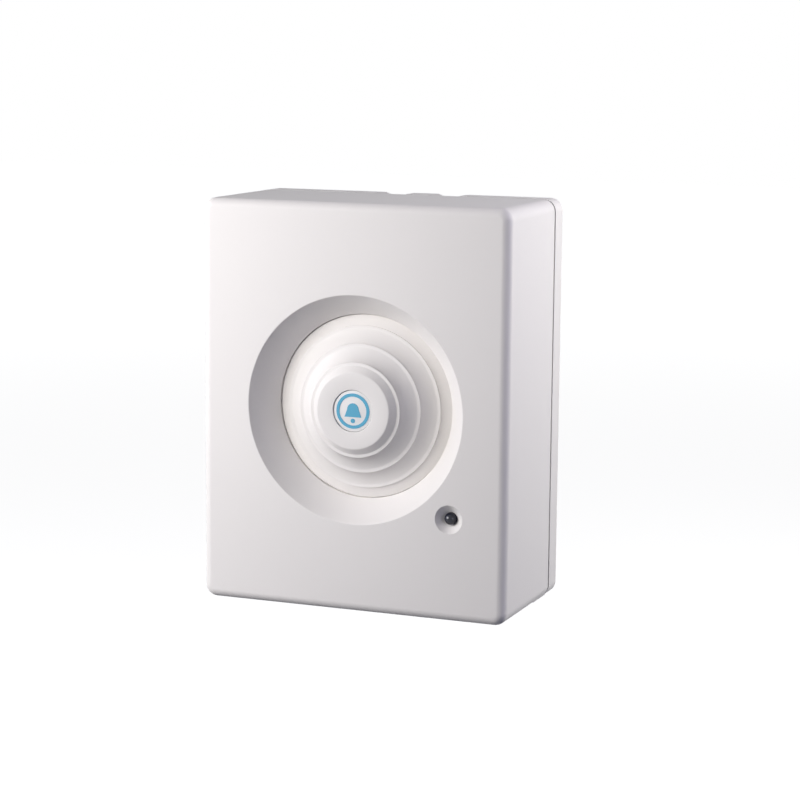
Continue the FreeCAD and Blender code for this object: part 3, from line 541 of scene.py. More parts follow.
@dataclass(frozen=True)
class Plastic(Finish):
    """A moulded plastic: its colour, its tool finish and how clean it is."""

    colour: Colour
    surface: Surface = Surface.SATIN
    mottle: float = 0.03
    dust: float = 0.15
    wear: float = 0.25
    specular: float = 0.5
    grain_size: float = 1500.0
    grain_height: float = 0.0002
    dust_colour: Colour = (0.42, 0.40, 0.37)
    roughness_span: Point = (0.85, 1.15)
    rubbed_share: float = 0.7
    rubbed_light: float = 0.27

    def shader(self, graph: Graph) -> bpy.types.Node:
        """Mottled colour under dust and rubbed edges, over the tool's grain."""
        level, depth = self.surface.value
        skin_values = {"Grain Size": self.grain_size, "Dust Amount": self.dust}
        skin = graph.add("ShaderNodeGroup", skin_values, node_tree=moulding_group()).outputs
        edges = graph.add("ShaderNodeGroup", {"Reach": self.wear}, node_tree=wear_group()).outputs
        darker, lighter = (
            full(min(1.0, channel * (1 + change)) for channel in self.colour)
            for change in (-self.mottle, self.mottle))
        clean = graph.blend(skin["Mottle"], darker, lighter)
        dusty = graph.blend(skin["Dust"], clean, full(self.dust_colour))
        bright = full(self.rubbed_share * channel + self.rubbed_light for channel in self.colour)
        rubbed = graph.blend(edges["Wear"], dusty, bright)
        return graph.add("ShaderNodeBsdfPrincipled", {
            "Base Color": rubbed,
            "Roughness": graph.spread(skin["Mottle"], tuple(level * share for share in self.roughness_span)),
            "Normal": graph.bump(depth, self.grain_height, skin["Grain"]), "IOR": 1.5,
            "Specular IOR Level": self.specular})


@dataclass(frozen=True)
class Metal(Finish):
    """A bare or plated metal, brushed or bright."""

    colour: Colour
    roughness: float = 0.25
    brushed: float = 0.1
    tarnish: Colour = (0.32, 0.27, 0.2)
    tarnish_share: float = 0.12
    brush_scale: Corner = (60.0, 60.0, 2400.0)
    brush_depth: float = 0.0001
    cloud_scale: float = 90.0
    cloud_span: Point = (0.55, 0.75)
    roughness_span: Point = (0.7, 1.4)

    def shader(self, graph: Graph) -> bpy.types.Node:
        """Metal with clouds of tarnish and brushed lines."""
        where = graph.place()
        stretched = graph.add("ShaderNodeMapping", {"Vector": where, "Scale": self.brush_scale})
        lines = graph.noise(stretched.outputs["Vector"], 1.0, detail=2.0)
        clouds = graph.noise(where, self.cloud_scale, detail=5.0)
        spots = graph.spread(clouds, (0.0, self.tarnish_share), self.cloud_span)
        return graph.add("ShaderNodeBsdfPrincipled", {
            "Base Color": graph.blend(spots, full(self.colour), full(self.tarnish)), "Metallic": 1.0,
            "Roughness": graph.spread(clouds, tuple(self.roughness * share for share in self.roughness_span)),
            "Normal": graph.bump(self.brushed, self.brush_depth, lines)})


@dataclass(frozen=True)
class CircuitLacquer(Finish):
    """Green solder lacquer over copper tracks that run in bundles, with tinned vias between them."""

    lacquer: Colour = (0.010, 0.085, 0.030)
    track: Colour = (0.022, 0.155, 0.055)
    tinned: Colour = (0.48, 0.49, 0.47)
    track_pitch: float = 1000.0
    track_share: float = 0.42
    track_height: float = 0.00005
    bundle: float = 62.0
    bundle_reach: float = 0.40
    bare_share: float = 0.4
    via_spacing: float = 300.0
    via_radius: float = 0.12
    via_rarity: float = 0.82
    upright_share: float = 0.5
    relief: float = 0.6

    def tracks(self, graph: Graph, where: Socket) -> Socket:
        """Mask of the tracks: upright lines in some bundles, level ones in others, and bare areas."""
        place = graph.add("ShaderNodeSeparateXYZ", {"Vector": where}).outputs
        bundles = graph.cells(where, self.bundle, "CHEBYCHEV")
        chance = graph.add("ShaderNodeSeparateColor", {"Color": bundles["Color"]}).outputs
        upright = graph.maths("GREATER_THAN", chance["Red"], self.upright_share)
        across, level = (
            graph.maths(
                "LESS_THAN", graph.maths("FRACT", graph.maths("MULTIPLY", place[side], self.track_pitch)),
                self.track_share)
            for side in ("X", "Z"))
        level = graph.maths("MULTIPLY", level, graph.maths("SUBTRACT", 1.0, upright))
        either = graph.maths("ADD", graph.maths("MULTIPLY", across, upright), level)
        inside = graph.maths("LESS_THAN", bundles["Distance"], self.bundle_reach)
        laid = graph.maths("MULTIPLY", inside, graph.maths("GREATER_THAN", chance["Green"], self.bare_share))
        return graph.maths("MULTIPLY", either, laid)

    def shader(self, graph: Graph) -> bpy.types.Node:
        """Lacquer, tracks and vias under a thin clear coat."""
        where = graph.place()
        tracks = self.tracks(graph, where)
        spots = graph.cells(where, self.via_spacing)
        picked = graph.add("ShaderNodeSeparateColor", {"Color": spots["Color"]}).outputs["Blue"]
        via = graph.maths(
            "MULTIPLY", graph.maths("LESS_THAN", spots["Distance"], self.via_radius),
            graph.maths("GREATER_THAN", picked, self.via_rarity))
        green = graph.blend(tracks, full(self.lacquer), full(self.track))
        return graph.add("ShaderNodeBsdfPrincipled", {
            "Base Color": graph.blend(via, green, full(self.tinned)), "Roughness": 0.3,
            "Normal": graph.bump(self.relief, self.track_height, graph.maths("ADD", tracks, via)),
            "Coat Weight": 0.4, "Coat Roughness": 0.15})


@dataclass(frozen=True)
class Foam(Finish):
    """Open-celled foam rubber."""

    colour: Colour = (0.035, 0.035, 0.04)
    cell_scale: float = 1600.0
    cell_depth: float = 0.0004
    relief: float = 0.8
    # How much paler the cell walls are than the painted shade in the cell hollows.
    pore_shade_contrast: float = 2.2

    def shader(self, graph: Graph) -> bpy.types.Node:
        """Dark rubber, raised between its cells, with painted shade darkening the cell hollows so that the
        walls read paler.
        """
        depth = graph.cells(graph.place(), self.cell_scale)["Distance"]
        # Painted shade: the colour darkens towards each cell's middle, where the bump sinks, and the walls
        # between cells stay paler.
        paler = full(channel * self.pore_shade_contrast for channel in self.colour)
        return graph.add("ShaderNodeBsdfPrincipled", {
            "Base Color": graph.blend(depth, full(self.colour), paler), "Roughness": 0.95,
            "Normal": graph.bump(self.relief, self.cell_depth, depth)})


CASING = Plastic("casing_white", (0.86, 0.832, 0.806), Surface.SPARKED, specular=0.3)
LOUVRE = Plastic("louvre_white", (0.87, 0.842, 0.815), dust=0.1, specular=0.3)
DISC = Plastic("badge_white", (0.84, 0.825, 0.815), dust=0.0)
PRINT = Plastic("badge_blue", (0.085, 0.39, 0.58), mottle=0.06, dust=0.0, wear=0.0)
LENS = Plastic("lens_navy", (0.006, 0.008, 0.022), Surface.POLISHED, dust=0.0, wear=0.0)
RED_LENS = Plastic("light_red", (0.42, 0.012, 0.01), Surface.POLISHED, dust=0.0, wear=0.0)
BLACK = Plastic("moulded_black", (0.022, 0.022, 0.024), dust=0.4)
NATURAL = Plastic("moulded_natural", (0.72, 0.69, 0.62))
BLUE = Plastic("moulded_blue", (0.02, 0.09, 0.36))
SLEEVE = Plastic("cell_sleeve", (0.30, 0.31, 0.33), Surface.POLISHED, dust=0.05)
SLEEVE_BAND = Plastic("cell_sleeve_band", (0.02, 0.06, 0.16), Surface.POLISHED, dust=0.05)
PALE_STRIPE = Plastic("sleeve_stripe", (0.45, 0.46, 0.48), Surface.POLISHED, dust=0.0)
CHIP_BODY = Plastic("chip_body", (0.03, 0.03, 0.035), dust=0.0)
MARK = Plastic("board_mark", (0.70, 0.70, 0.66), dust=0.0)
CAP_SLEEVE = Plastic("capacitor_sleeve", (0.012, 0.018, 0.06), Surface.POLISHED)
RED_WIRE = Plastic("wire_red", (0.45, 0.012, 0.012), wear=0.0)
CERAMIC = Plastic("fired_ceramic", (0.62, 0.55, 0.44), Surface.SPARKED)
FERRITE = Plastic("ferrite_grey", (0.06, 0.06, 0.065), Surface.SPARKED)
STEEL = Metal("zinc_steel", (0.60, 0.60, 0.61), 0.3)
SOLDER = Metal("tin_solder", (0.62, 0.63, 0.65), 0.22, 0.02)
TINPLATE = Metal("tinned_sheet", (0.46, 0.46, 0.47), 0.42, 0.25)
ALUMINIUM = Metal("bare_aluminium", (0.76, 0.77, 0.78), 0.3, 0.15)
NICKEL = Metal("bright_nickel", (0.72, 0.70, 0.66), 0.18, 0.05)
BRASS = Metal("sheet_brass", (0.72, 0.50, 0.18), 0.22, 0.2)
COPPER = Metal("wire_copper", (0.66, 0.26, 0.12), 0.25, 0.3)
LACQUER = CircuitLacquer("board_lacquer")
FOAM = Foam("gasket_foam")


def towards(azimuth: float, elevation: float) -> Vector:
    """Direction away from the sounder, in degrees; azimuth 0 is straight in front and grows towards +X."""
    turn, rise = math.radians(azimuth), math.radians(elevation)
    return Vector((math.sin(turn) * math.cos(rise), -math.cos(turn) * math.cos(rise), math.sin(rise)))


@dataclass
class Lamp:
    """One soft square studio lamp that looks at the sounder."""

    name: str
    azimuth: float
    elevation: float
    distance: float
    width: float
    power: float
    colour: Colour

    def hang(self, target: Vector) -> None:
        """Place the lamp."""
        way = towards(self.azimuth, self.elevation)
        data = bpy.data.lights.new(self.name, "AREA")
        data.shape = "SQUARE"
        data.size = self.width
        data.energy = self.power
        data.color = self.colour
        lamp = linked(self.name, data)
        lamp.location = target + way * self.distance
        lamp.rotation_euler = (-way).to_track_quat("-Z", "Y").to_euler()


@dataclass
class Studio:
    """Pale floor, white surround, soft lamps and the camera at the photograph's angle."""

    lens: float = 105.68
    sensor: float = 36.0
    yaw: float = 21.68
    pitch: float = 9.01
    roll: float = 0.504
    aim: Corner = (-0.00434, 0.0, -0.00495)
    range: float = 0.883
    floor_size: float = 6.0
    swing_room: float = 0.046
    floor_lift: float = 0.88
    lift_reach: Point = (0.25, 1.1)
    floor_bounce: Colour = (0.04, 0.045, 0.07)
    floor_grey: Colour = (0.3, 0.3, 0.3)
    surround_level: float = 0.035
    surround_tint: Colour = (0.5, 0.58, 1.0)
    white: Colour = (1.0, 1.0, 1.0)
    lamps: tuple[Lamp, ...] = (
        Lamp("key_lamp", -36.0, 15.0, 0.45, 0.25, 1.69, (1.0, 0.98, 0.957)),
        Lamp("left_lamp", -62.0, 15.0, 0.45, 0.25, 0.68, (0.841, 0.861, 1.0)),
        Lamp("front_lamp", 60.0, 10.0, 1.0, 0.5, 1.24, (0.76, 0.765, 1.0)),
        Lamp("right_lamp", 100.0, 32.0, 0.4, 0.2, 0.76, (0.906, 0.874, 1.0)),
        Lamp("rear_right_lamp", 125.0, 15.0, 0.4, 0.2, 0.50, (0.983, 1.0, 0.843)),
    )

    def camera(self) -> None:
        """Set the camera that the photograph was taken with."""
        turn, roll = math.radians(self.yaw), math.radians(self.roll)
        back = towards(self.yaw, self.pitch)
        right = Vector((math.cos(turn), math.sin(turn), 0.0))
        up = back.cross(right)
        tilted_right = right * math.cos(roll) + up * math.sin(roll)
        tilted_up = up * math.cos(roll) - right * math.sin(roll)
        data = bpy.data.cameras.new("photograph_camera")
        data.lens = self.lens
        data.sensor_width = self.sensor
        camera = linked("photograph_camera", data)
        facing = Matrix((tilted_right, tilted_up, back)).transposed()
        camera.matrix_world = Matrix.Translation(Vector(self.aim) + back * self.range) @ facing.to_4x4()
        bpy.context.scene.camera = camera

    def surround(self) -> None:
        """White for the camera and in reflections, a soft cool level for everything else."""
        world = bpy.data.worlds.new("studio_surround")
        bpy.context.scene.world = world
        world.use_nodes = True
        graph = Graph(world.node_tree)
        soft, white = (
            graph.add("ShaderNodeBackground", {"Color": full(colour), "Strength": level}).outputs[0]
            for colour, level in ((self.surround_tint, self.surround_level), (self.white, 1.0)))
        mixed = graph.add("ShaderNodeMixShader", {0: graph.seen(), 1: soft, 2: white})
        graph.give("ShaderNodeOutputWorld", {"Surface": mixed.outputs[0]})

    def floor(self, level: float) -> None:
        """Pale floor under the sounder, as far down as the opened cover hangs, with its shadow."""
        select_none()
        bpy.ops.mesh.primitive_plane_add(size=self.floor_size, location=(0, 0, level))
        floor = bpy.context.object
        floor.name = "studio_floor"
        material = bpy.data.materials.new("studio_floor")
        material.use_nodes = True
        graph = Graph(material.node_tree)
        seen = graph.seen()
        reach = graph.add("ShaderNodeVectorMath", {0: graph.place()}, operation="LENGTH").outputs["Value"]
        lift = graph.spread(reach, (self.floor_lift, 1.0), self.lift_reach)
        tone = graph.blend(seen, full(self.floor_bounce), full(self.floor_grey))
        matt = graph.add("ShaderNodeBsdfDiffuse", {"Color": tone})
        glow = graph.add("ShaderNodeEmission", {
            "Color": full(self.white), "Strength": graph.maths("MULTIPLY", seen, lift)})
        both = graph.add("ShaderNodeAddShader", {0: matt.outputs[0], 1: glow.outputs[0]})
        graph.give("ShaderNodeOutputMaterial", {"Surface": both.outputs[0]})
        dress(floor, material)
        floor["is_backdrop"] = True

    def build(self) -> None:
        """Set up everything round the sounder."""
        low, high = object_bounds()
        self.camera()
        self.surround()
        self.floor(low[2] - self.swing_room)
        target = (Vector(low) + Vector(high)) / 2
        for lamp in self.lamps:
            lamp.hang(target)
        bpy.context.scene.view_settings.view_transform = "Standard"


def axis_of(node: str) -> Point:
    """(x, z) of the middle of one solid, on its axis along Y."""
    return middle_of(*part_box(node))


@dataclass
class SteppedDome:
    """The louvre: tiers that each end in a narrow flat ledge, on three legs in the recess."""

    face: float
    axis: Point
    sides: int = 192
    nose_radius: float = 13.7
    nose_proud: float = 1.0
    nose_wall: float = 3.4
    ring_radii: tuple[float, ...] = (17.0, 23.1, 29.2)
    ring_depths: tuple[float, ...] = (1.2, 5.7, 9.5)
    ledge: float = 1.1
    drop: float = 0.45
    drop_run: float = 0.12
    rim_radius: float = 33.08
    rim_depth: float = 11.6
    rim_thickness: float = 1.5
    wall: float = 2.3
    leg_circle: float = 25.4
    leg_radius: float = 2.7
    leg_foot_depth: float = 17.0
    leg_chamfer: float = 0.2
    leg_degrees: tuple[int, ...] = (90, 210, 330)
    seat_radius: float = 7.5
    seat_depth: float = 1.65
    sags: tuple[float, ...] = (0.5, 0.4, 0.15)
    cove_steps: int = 8

    def cove(self, start: Point, end: Point, sag: float) -> list[Corner]:
        """Corners of a hollow curve between two (radius, depth) points, deepest by sag at its middle."""
        first, last = Vector(start), Vector(end)
        middle = (first + last) / 2
        control = middle + (Vector((first.x, last.y)) - middle).normalized() * 2 * sag
        corners = []
        for step in range(1, self.cove_steps):
            share = step / self.cove_steps
            point = first * (1 - share) ** 2 + control * 2 * share * (1 - share) + last * share ** 2
            corners.append((point.x, point.y, 0.0))
        return corners

    def outline(self) -> list[Point]:
        """(radius, y) points down the outside, round the rim and up the inside."""
        seat = -self.nose_proud + self.seat_depth
        corners = [
            (0.0, seat, 0.0),
            (self.seat_radius, seat, 0.0),
            (self.seat_radius, -self.nose_proud, 0.25),
            (self.nose_radius, -self.nose_proud, 0.9),
        ]
        rings = list(zip(self.ring_radii, self.ring_depths))
        ends = [*rings[1:], (self.rim_radius + self.ledge, self.rim_depth)]
        for (radius, depth), (next_radius, next_depth), sag in zip(rings, ends, self.sags):
            foot = (radius + self.drop_run, depth + self.drop)
            corners += [(radius - self.ledge, depth, 0.12), (radius, depth, 0.1), (*foot, 0.0)]
            corners += self.cove(foot, (next_radius - self.ledge, next_depth), sag)
        rim_rear = self.rim_depth + self.rim_thickness
        corners += [
            (self.rim_radius, self.rim_depth, 0.45),
            (self.rim_radius, rim_rear, 0.2),
            (self.rim_radius - self.wall / 2, rim_rear, 0.2),
        ]
        corners += [(radius - self.ledge, depth + self.wall, 0.6) for radius, depth in reversed(rings)]
        under = -self.nose_proud + self.nose_wall
        corners += [(self.nose_radius - self.wall, under, 0.6), (0.0, under, 0.0)]
        return set_back(eased(corners), self.face)

    def leg(self, degrees: float) -> Piece:
        """One leg, from inside the tiers to the recess floor."""
        turn = math.radians(degrees)
        reach = self.leg_circle * MM
        centre = (self.axis[0] + reach * math.cos(turn), self.axis[1] + reach * math.sin(turn))
        foot = self.face + self.leg_foot_depth * MM
        head = self.face + (self.ring_depths[2] + self.wall / 3) * MM
        radius, chamfer = self.leg_radius * MM, self.leg_chamfer * MM
        outline = [
            (0.0, head), (radius, head), (radius, foot - chamfer), (radius - chamfer, foot), (0.0, foot)]
        return lathe("dome_leg", outline, centre, sides=32)

    def build(self) -> None:
        """Model the louvre with its legs and dress it."""
        dome = lathe("stepped_dome", self.outline(), self.axis, self.sides)
        for degrees in self.leg_degrees:
            carve(dome, self.leg(degrees), "UNION")
        dress(smooth(settle(dome, "stepped_dome"), degrees=28), LOUVRE.material())
        stand_for(dome, Body.COVER, "dome", "sounder_dome")


@dataclass
class Badge:
    """The disc in the louvre's nose, under its plain blue print."""

    face: float
    axis: Point
    nose_proud: float = 1.0
    sunk: float = 0.45
    radius: float = 7.4
    thickness: float = 1.2
    roundings: Point = (0.25, 0.1)

    def build(self) -> None:
        """Model the disc and dress it."""
        front = self.face + (self.sunk - self.nose_proud) * MM
        rear = front + self.thickness * MM
        radius, soft, sharp = millimetres(self.radius, *self.roundings)
        corners = [(0.0, front, 0.0), (radius, front, soft), (radius, rear, sharp), (0.0, rear, 0.0)]
        disc = lathe("badge_disc", eased(corners), self.axis, sides=96)
        dress(smooth(disc), DISC.material())
        stand_for(disc, Body.COVER, "badge", "centre_badge")


@dataclass
class IndicatorLens:
    """The light pipe: a dark domed tip in the countersink and a rod back to the board's light."""

    radius: float = 2.2
    tip_steps: int = 14
    flange_reach: float = 4.7
    flange_thickness: float = 1.0

    def build(self) -> None:
        """Model the lens and dress it."""
        low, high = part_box("indicator_lens")
        wide = (high[0] - low[0]) / 2
        radius = self.radius * MM
        shoulder = low[1] + radius
        flange = shoulder + self.flange_reach * MM
        flange_rear = flange + self.flange_thickness * MM
        angles = [math.pi / 2 * step / self.tip_steps for step in range(self.tip_steps + 1)]
        outline = [(radius * math.sin(angle), shoulder - radius * math.cos(angle)) for angle in angles]
        outline += [(radius, flange), (wide, flange), (wide, flange_rear), (radius, flange_rear)]
        outline += [(radius, high[1]), (0.0, high[1])]
        lens = lathe("lens_tip", outline, axis_of("indicator_lens"), sides=64)
        dress(smooth(lens, degrees=40), LENS.material())
        stand_for(lens, Body.COVER, "dark_lens", "indicator_lens")


@dataclass
class Cover:
    """The deep moulded cover: a box with rounded edges, its recess, countersink, hinge and catches."""

    axis: Point
    wall: float = 2.5
    rear: float = -9.3
    corner_radius: float = 4.5
    front_fillet: float = 3.3
    fillet_steps: int = 12
    least_depth: float = 10.0
    recess_radius: float = 40.9
    throat_radius: float = 33.22
    cone_depth: float = 10.6
    recess_depth: float = 17.0
    recess_sides: int = 192
    opening_radius: float = 15.0
    opening_span: Point = (10.0, 25.0)
    edge_rounding: float = 0.5
    edge_steps: int = 8
    rim_margin: float = 2.0
    overshoot: float = 1.0
    sink_radius: float = 5.2
    sink_depth: float = 2.9
    bore_radius: float = 2.28
    bore_lead: float = 0.25
    boss_radius: float = 7.2
    boss_length: float = 7.0
    hinge_places: Point = (-30.0, 30.0)
    window_low: Corner = (-4.3, -17.75, -74.0)
    window_high: Corner = (4.3, -7.0, -69.5)
    bar_centre: Point = (-15.0, -71.75)
    bar_radius: float = 0.95
    bar_length: float = 11.1
    cut_edge: float = 0.1
    catch_places: Point = (-5.0, 16.0)
    catch_half_width: float = 4.0
    root_front: float = -18.65
    root_top: float = 71.0
    tongue_span: Point = (-18.0, -4.05)
    tongue_heights: Point = (68.25, 69.85)
    tongue_edge: float = 0.3

    def shell(self) -> Piece:
        """Open box with rounded edges and its wall thickness."""
        low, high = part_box("front_cover")
        front, deep = low[1], self.least_depth * MM
        shell = box_between(low, (high[0], self.rear * MM, high[2]))
        with editing(shell):
            pick(shell, "FACE", lambda face: face.normal.y > 0.5)
            bpy.ops.mesh.delete(type="FACE")
            pick(shell, "EDGE", lambda edge: abs(edge.verts[0].co.y - edge.verts[1].co.y) > deep)
            bpy.ops.mesh.bevel(offset=self.corner_radius * MM, segments=self.fillet_steps, affect="EDGES")
            pick(shell, "EDGE", lambda edge: all(vert.co.y < front + NEAR for vert in edge.verts))
            bpy.ops.mesh.bevel(offset=self.front_fillet * MM, segments=self.fillet_steps, affect="EDGES")
        apply_modifier(shell, "SOLIDIFY", thickness=self.wall * MM, offset=-1.0, use_even_offset=True)
        with editing(shell):
            bpy.ops.mesh.normals_make_consistent(inside=False)
        return shell

    def recess_outline(self, face: float, offset: float, overshoot: float) -> list[Point]:
        """(radius, y) outline of the recess, grown by an offset, from an overshoot before the face."""
        slope = (self.recess_radius - self.throat_radius) / self.cone_depth
        throat = self.throat_radius + offset
        floor = self.recess_depth + offset
        corners = [
            (0.0, -overshoot, 0.0),
            (self.recess_radius + offset + slope * overshoot, -overshoot, 0.0),
            (throat, self.cone_depth, 0.4),
            (throat, floor, 0.5),
            (0.0, floor, 0.0),
        ]
        return set_back(eased(corners, steps=6), face)

    def rim_tool(self, face: float) -> Piece:
        """Ring that takes the sharp edge off the recess's rim."""
        width = self.edge_rounding
        inner, lead = self.recess_radius - self.rim_margin, self.overshoot
        sweep = math.pi / 2 - math.atan2(self.recess_radius - self.throat_radius, self.cone_depth)
        middle = self.recess_radius + width * math.tan(sweep / 2)
        angles = [sweep * step / self.edge_steps for step in range(self.edge_steps + 1)]
        points = [(middle - width * math.sin(angle), width - width * math.cos(angle)) for angle in angles]
        points += [(inner, lead), (inner, -lead), (middle, -lead)]
        return lathe("rim_tool", set_back(points, face), self.axis, self.recess_sides, closed=True)

    def sink_outline(self, face: float) -> list[Point]:
        """(radius, y) outline of the countersink and its bore."""
        slope = (self.sink_radius - self.bore_radius) / self.sink_depth
        end, lead = self.boss_length + self.overshoot, self.overshoot
        corners = [
            (0.0, -lead, 0.0),
            (self.sink_radius + slope * lead, -lead, 0.0),
            (self.bore_radius, self.sink_depth - self.bore_lead, 0.15),
            (self.bore_radius, end, 0.0),
            (0.0, end, 0.0),
        ]
        return set_back(eased(corners), face)

    def hinge(self, cover: Piece) -> None:
        """Cut the clip windows in the bottom wall and lay the bars across them."""
        for x in self.hinge_places:
            low, high = (
                millimetres(x + corner[0], *corner[1:]) for corner in (self.window_low, self.window_high))
            carve(cover, rounded_bar("window", low, high, self.cut_edge * MM, segments=1))
            select_none()
            bpy.ops.mesh.primitive_cylinder_add(
                vertices=32, radius=self.bar_radius * MM, depth=self.bar_length * MM,
                location=millimetres(x, *self.bar_centre), rotation=(0, math.pi / 2, 0))
            carve(cover, settle(bpy.context.object, "bar"), "UNION")

    def catches(self, cover: Piece) -> None:
        """Add the two catch tongues inside the top wall."""
        (front, rear), (low, high) = self.tongue_span, self.tongue_heights
        for x in self.catch_places:
            left, right = x - self.catch_half_width, x + self.catch_half_width
            root = (millimetres(left, self.root_front, low), millimetres(right, self.rear, self.root_top))
            carve(cover, rounded_bar("root", *root, self.cut_edge * MM, segments=1), "UNION")
            tongue = (millimetres(left, front, low), millimetres(right, rear, high))
            carve(cover, rounded_bar("tongue", *tongue, self.tongue_edge * MM), "UNION")

    def build(self) -> None:
        """Model the cover and dress it."""
        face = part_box("front_cover")[0][1]
        place = axis_of("indicator_lens")
        cover = self.shell()
        tub = self.recess_outline(face, self.wall, -self.wall / 2)
        carve(cover, lathe("tub", tub, self.axis, self.recess_sides), "UNION")
        hollow = self.recess_outline(face, 0.0, self.overshoot)
        carve(cover, lathe("hollow", hollow, self.axis, self.recess_sides))
        carve(cover, self.rim_tool(face))
        start, end = (face + depth * MM for depth in self.opening_span)
        carve(cover, lathe("mouth", drum(self.opening_radius * MM, start, end), self.axis, sides=96))
        boss = drum(self.boss_radius * MM, face + self.wall / 2 * MM, face + self.boss_length * MM)
        carve(cover, lathe("boss", boss, place, sides=64), "UNION")
        carve(cover, lathe("sink", self.sink_outline(face), place, sides=96))
        self.hinge(cover)
        self.catches(cover)
        apply_modifier(smooth(cover, CREASE), "WEIGHTED_NORMAL", keep_sharp=True, weight=60)
        dress(settle(cover, "cover_moulding"), CASING.material())
        stand_for(cover, Body.COVER, "casing", "front_cover")


@dataclass(frozen=True)
class Trim:
    """How one solid is finished: its piece's name, finish, slot, broken edges and body."""

    node: str
    name: str
    finish: Finish
    slot: str
    edge: float = 0.0
    body: Body = Body.BASE

    def build(self, nodes: dict[str, Piece]) -> None:
        """Soften, dress and place the piece."""
        piece = softened(nodes[self.node], self.name, self.edge)
        dress(piece, self.finish.material())
        stand_for(piece, self.body, self.slot, self.node)


BACK_TRIMS = (
    Trim("back_plate", "plate_moulding", CASING, "casing", 0.12),
    Trim("lens_retainer", "lens_ring", BLACK, "black_plastic", 0.1, Body.COVER),
    Trim("dome_screws", "louvre_screws", STEEL, "screw_steel", 0.05, Body.COVER),
)
TRAY_TRIMS = (
    Trim("battery_holder", "cell_tray", BLACK, "black_plastic", 0.2),
    Trim("holder_screws", "tray_screws", STEEL, "screw_steel", 0.05),
    Trim("positive_contacts", "contact_plates", NICKEL, "bright_metal", 0.04),
    Trim("leaf_springs", "contact_springs", NICKEL, "bright_metal", 0.04),
    Trim("battery_lead_red", "lead_red", RED_WIRE, "red_lead"),
    Trim("battery_lead_black", "lead_black", BLACK, "black_plastic"),
    Trim("battery_plug", "lead_plug", NATURAL, "natural_plastic", 0.15),
    Trim("battery_header", "lead_header", NATURAL, "natural_plastic", 0.12),
)
SOUNDER_TRIMS = (
    Trim("sounder_housing", "sounder_cup", BLACK, "black_plastic", 0.25),
    Trim("sounder_horn", "sounder_flare", BLACK, "black_plastic", 0.2),
    Trim("sounder_gasket", "foam_ring", FOAM, "foam", 0.3),
    Trim("piezo_plate", "brass_disc", BRASS, "brass"),
    Trim("piezo_ceramic", "ceramic_disc", CERAMIC, "ceramic"),
    Trim("sounder_pins", "sounder_legs", NICKEL, "bright_metal"),
)
BOARD_TRIMS = (
    Trim("main_board", "circuit_board", LACQUER, "green_board", 0.08),
    Trim("board_screws", "circuit_screws", STEEL, "screw_steel", 0.05),
    Trim("status_led", "status_light", RED_LENS, "red_lens"),
    Trim("led_spacer", "light_spacer", BLACK, "black_plastic", 0.15),
    Trim("learn_switch", "learn_body", BLACK, "black_plastic", 0.12),
    Trim("dip_switch", "code_body", BLUE, "blue_plastic", 0.15),
    Trim("volume_trimmer", "volume_body", BLUE, "blue_plastic", 0.15),
    Trim("radio_board", "radio_circuit", LACQUER, "green_board", 0.06),
    Trim("radio_can", "radio_shield", TINPLATE, "bright_metal", 0.25),
    Trim("radio_pins", "radio_legs", NICKEL, "bright_metal"),
    Trim("antenna_wire", "aerial_wire", RED_WIRE, "red_lead"),
    Trim("crystal_can", "crystal_shell", TINPLATE, "bright_metal", 0.4),
    Trim("inductor_core", "choke_core", FERRITE, "ferrite", 0.1),
)
# The moving controls and the badge's print keep their solids and only take a finish.
KEPT_SOLIDS = {
    "learn_button": NATURAL,
    "volume_rotor": NATURAL,
    **{"dip_lever_%d" % number: NATURAL for number in range(1, 5)},
    "badge_symbol": PRINT,
}


@dataclass
class Cell:
    """One round dry cell: a plain sleeve over a steel can, with its raised contact at one end."""

    node: str
    solid: Piece
    radius: float = 7.1
    length: float = 49.3
    nub_radius: float = 2.6
    nub_height: float = 1.1
    band_length: float = 9.0
    ring_width: float = 1.2
    crimp: float = 0.35
    metal_radius: float = 6.6
    end_slice: float = 0.4
    contact_reach: float = 4.0

    def points_up(self) -> bool:
        """True where the raised contact is the upper end."""
        low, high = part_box(self.node)
        middle = (low[0] + high[0]) / 2
        top = high[2] - self.end_slice * MM
        near_top = [abs(vert.co.x - middle) for vert in self.solid.data.vertices if vert.co.z > top]
        return max(near_top) < self.contact_reach * MM

    def build(self) -> None:
        """Turn the cell, paint its sleeve and ends and place it."""
        collar = self.length - self.crimp
        corners = [
            (0.0, 0.25, 0.0), (4.8, 0.25, 0.1), (5.2, 0.0, 0.2), (6.2, 0.0, 0.3), (6.5, 0.45, 0.1),
            (self.radius, 0.45, 0.4), (self.radius, collar, 0.4), (6.3, collar, 0.1),
            (5.9, self.length, 0.2), (self.nub_radius + 0.1, self.length, 0.1),
            (self.nub_radius, self.length + self.nub_height, 0.4), (0.0, self.length + self.nub_height, 0.0),
        ]
        low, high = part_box(self.node)
        centre = ((low[0] + high[0]) / 2, (low[1] + high[1]) / 2)
        base, way = (low[2], 1) if self.points_up() else (high[2], -1)
        outline = [(radius * MM, base + way * height * MM) for radius, height in eased(corners)]
        cell = lathe("dry_" + self.node, outline, centre, sides=64, axis=Axis.HEIGHT)
        band = base + way * (self.length - self.band_length) * MM

        def part(place: Vector) -> int:
            if math.hypot(place.x - centre[0], place.y - centre[1]) < self.metal_radius * MM:
                return 1
            return 2 if (place.z - band) * way > 0 else 0

        with editing(cell):
            for height in (band, band - way * self.ring_width * MM):
                bpy.ops.mesh.select_all(action="SELECT")
                bpy.ops.mesh.bisect(plane_co=(0, 0, height), plane_no=(0, 0, 1))
        finishes = (finish.material() for finish in (SLEEVE, NICKEL, SLEEVE_BAND))
        paint(smooth(cell, degrees=40), part, *finishes)
        stand_for(cell, Body.BASE, "cell_sleeve", self.node)


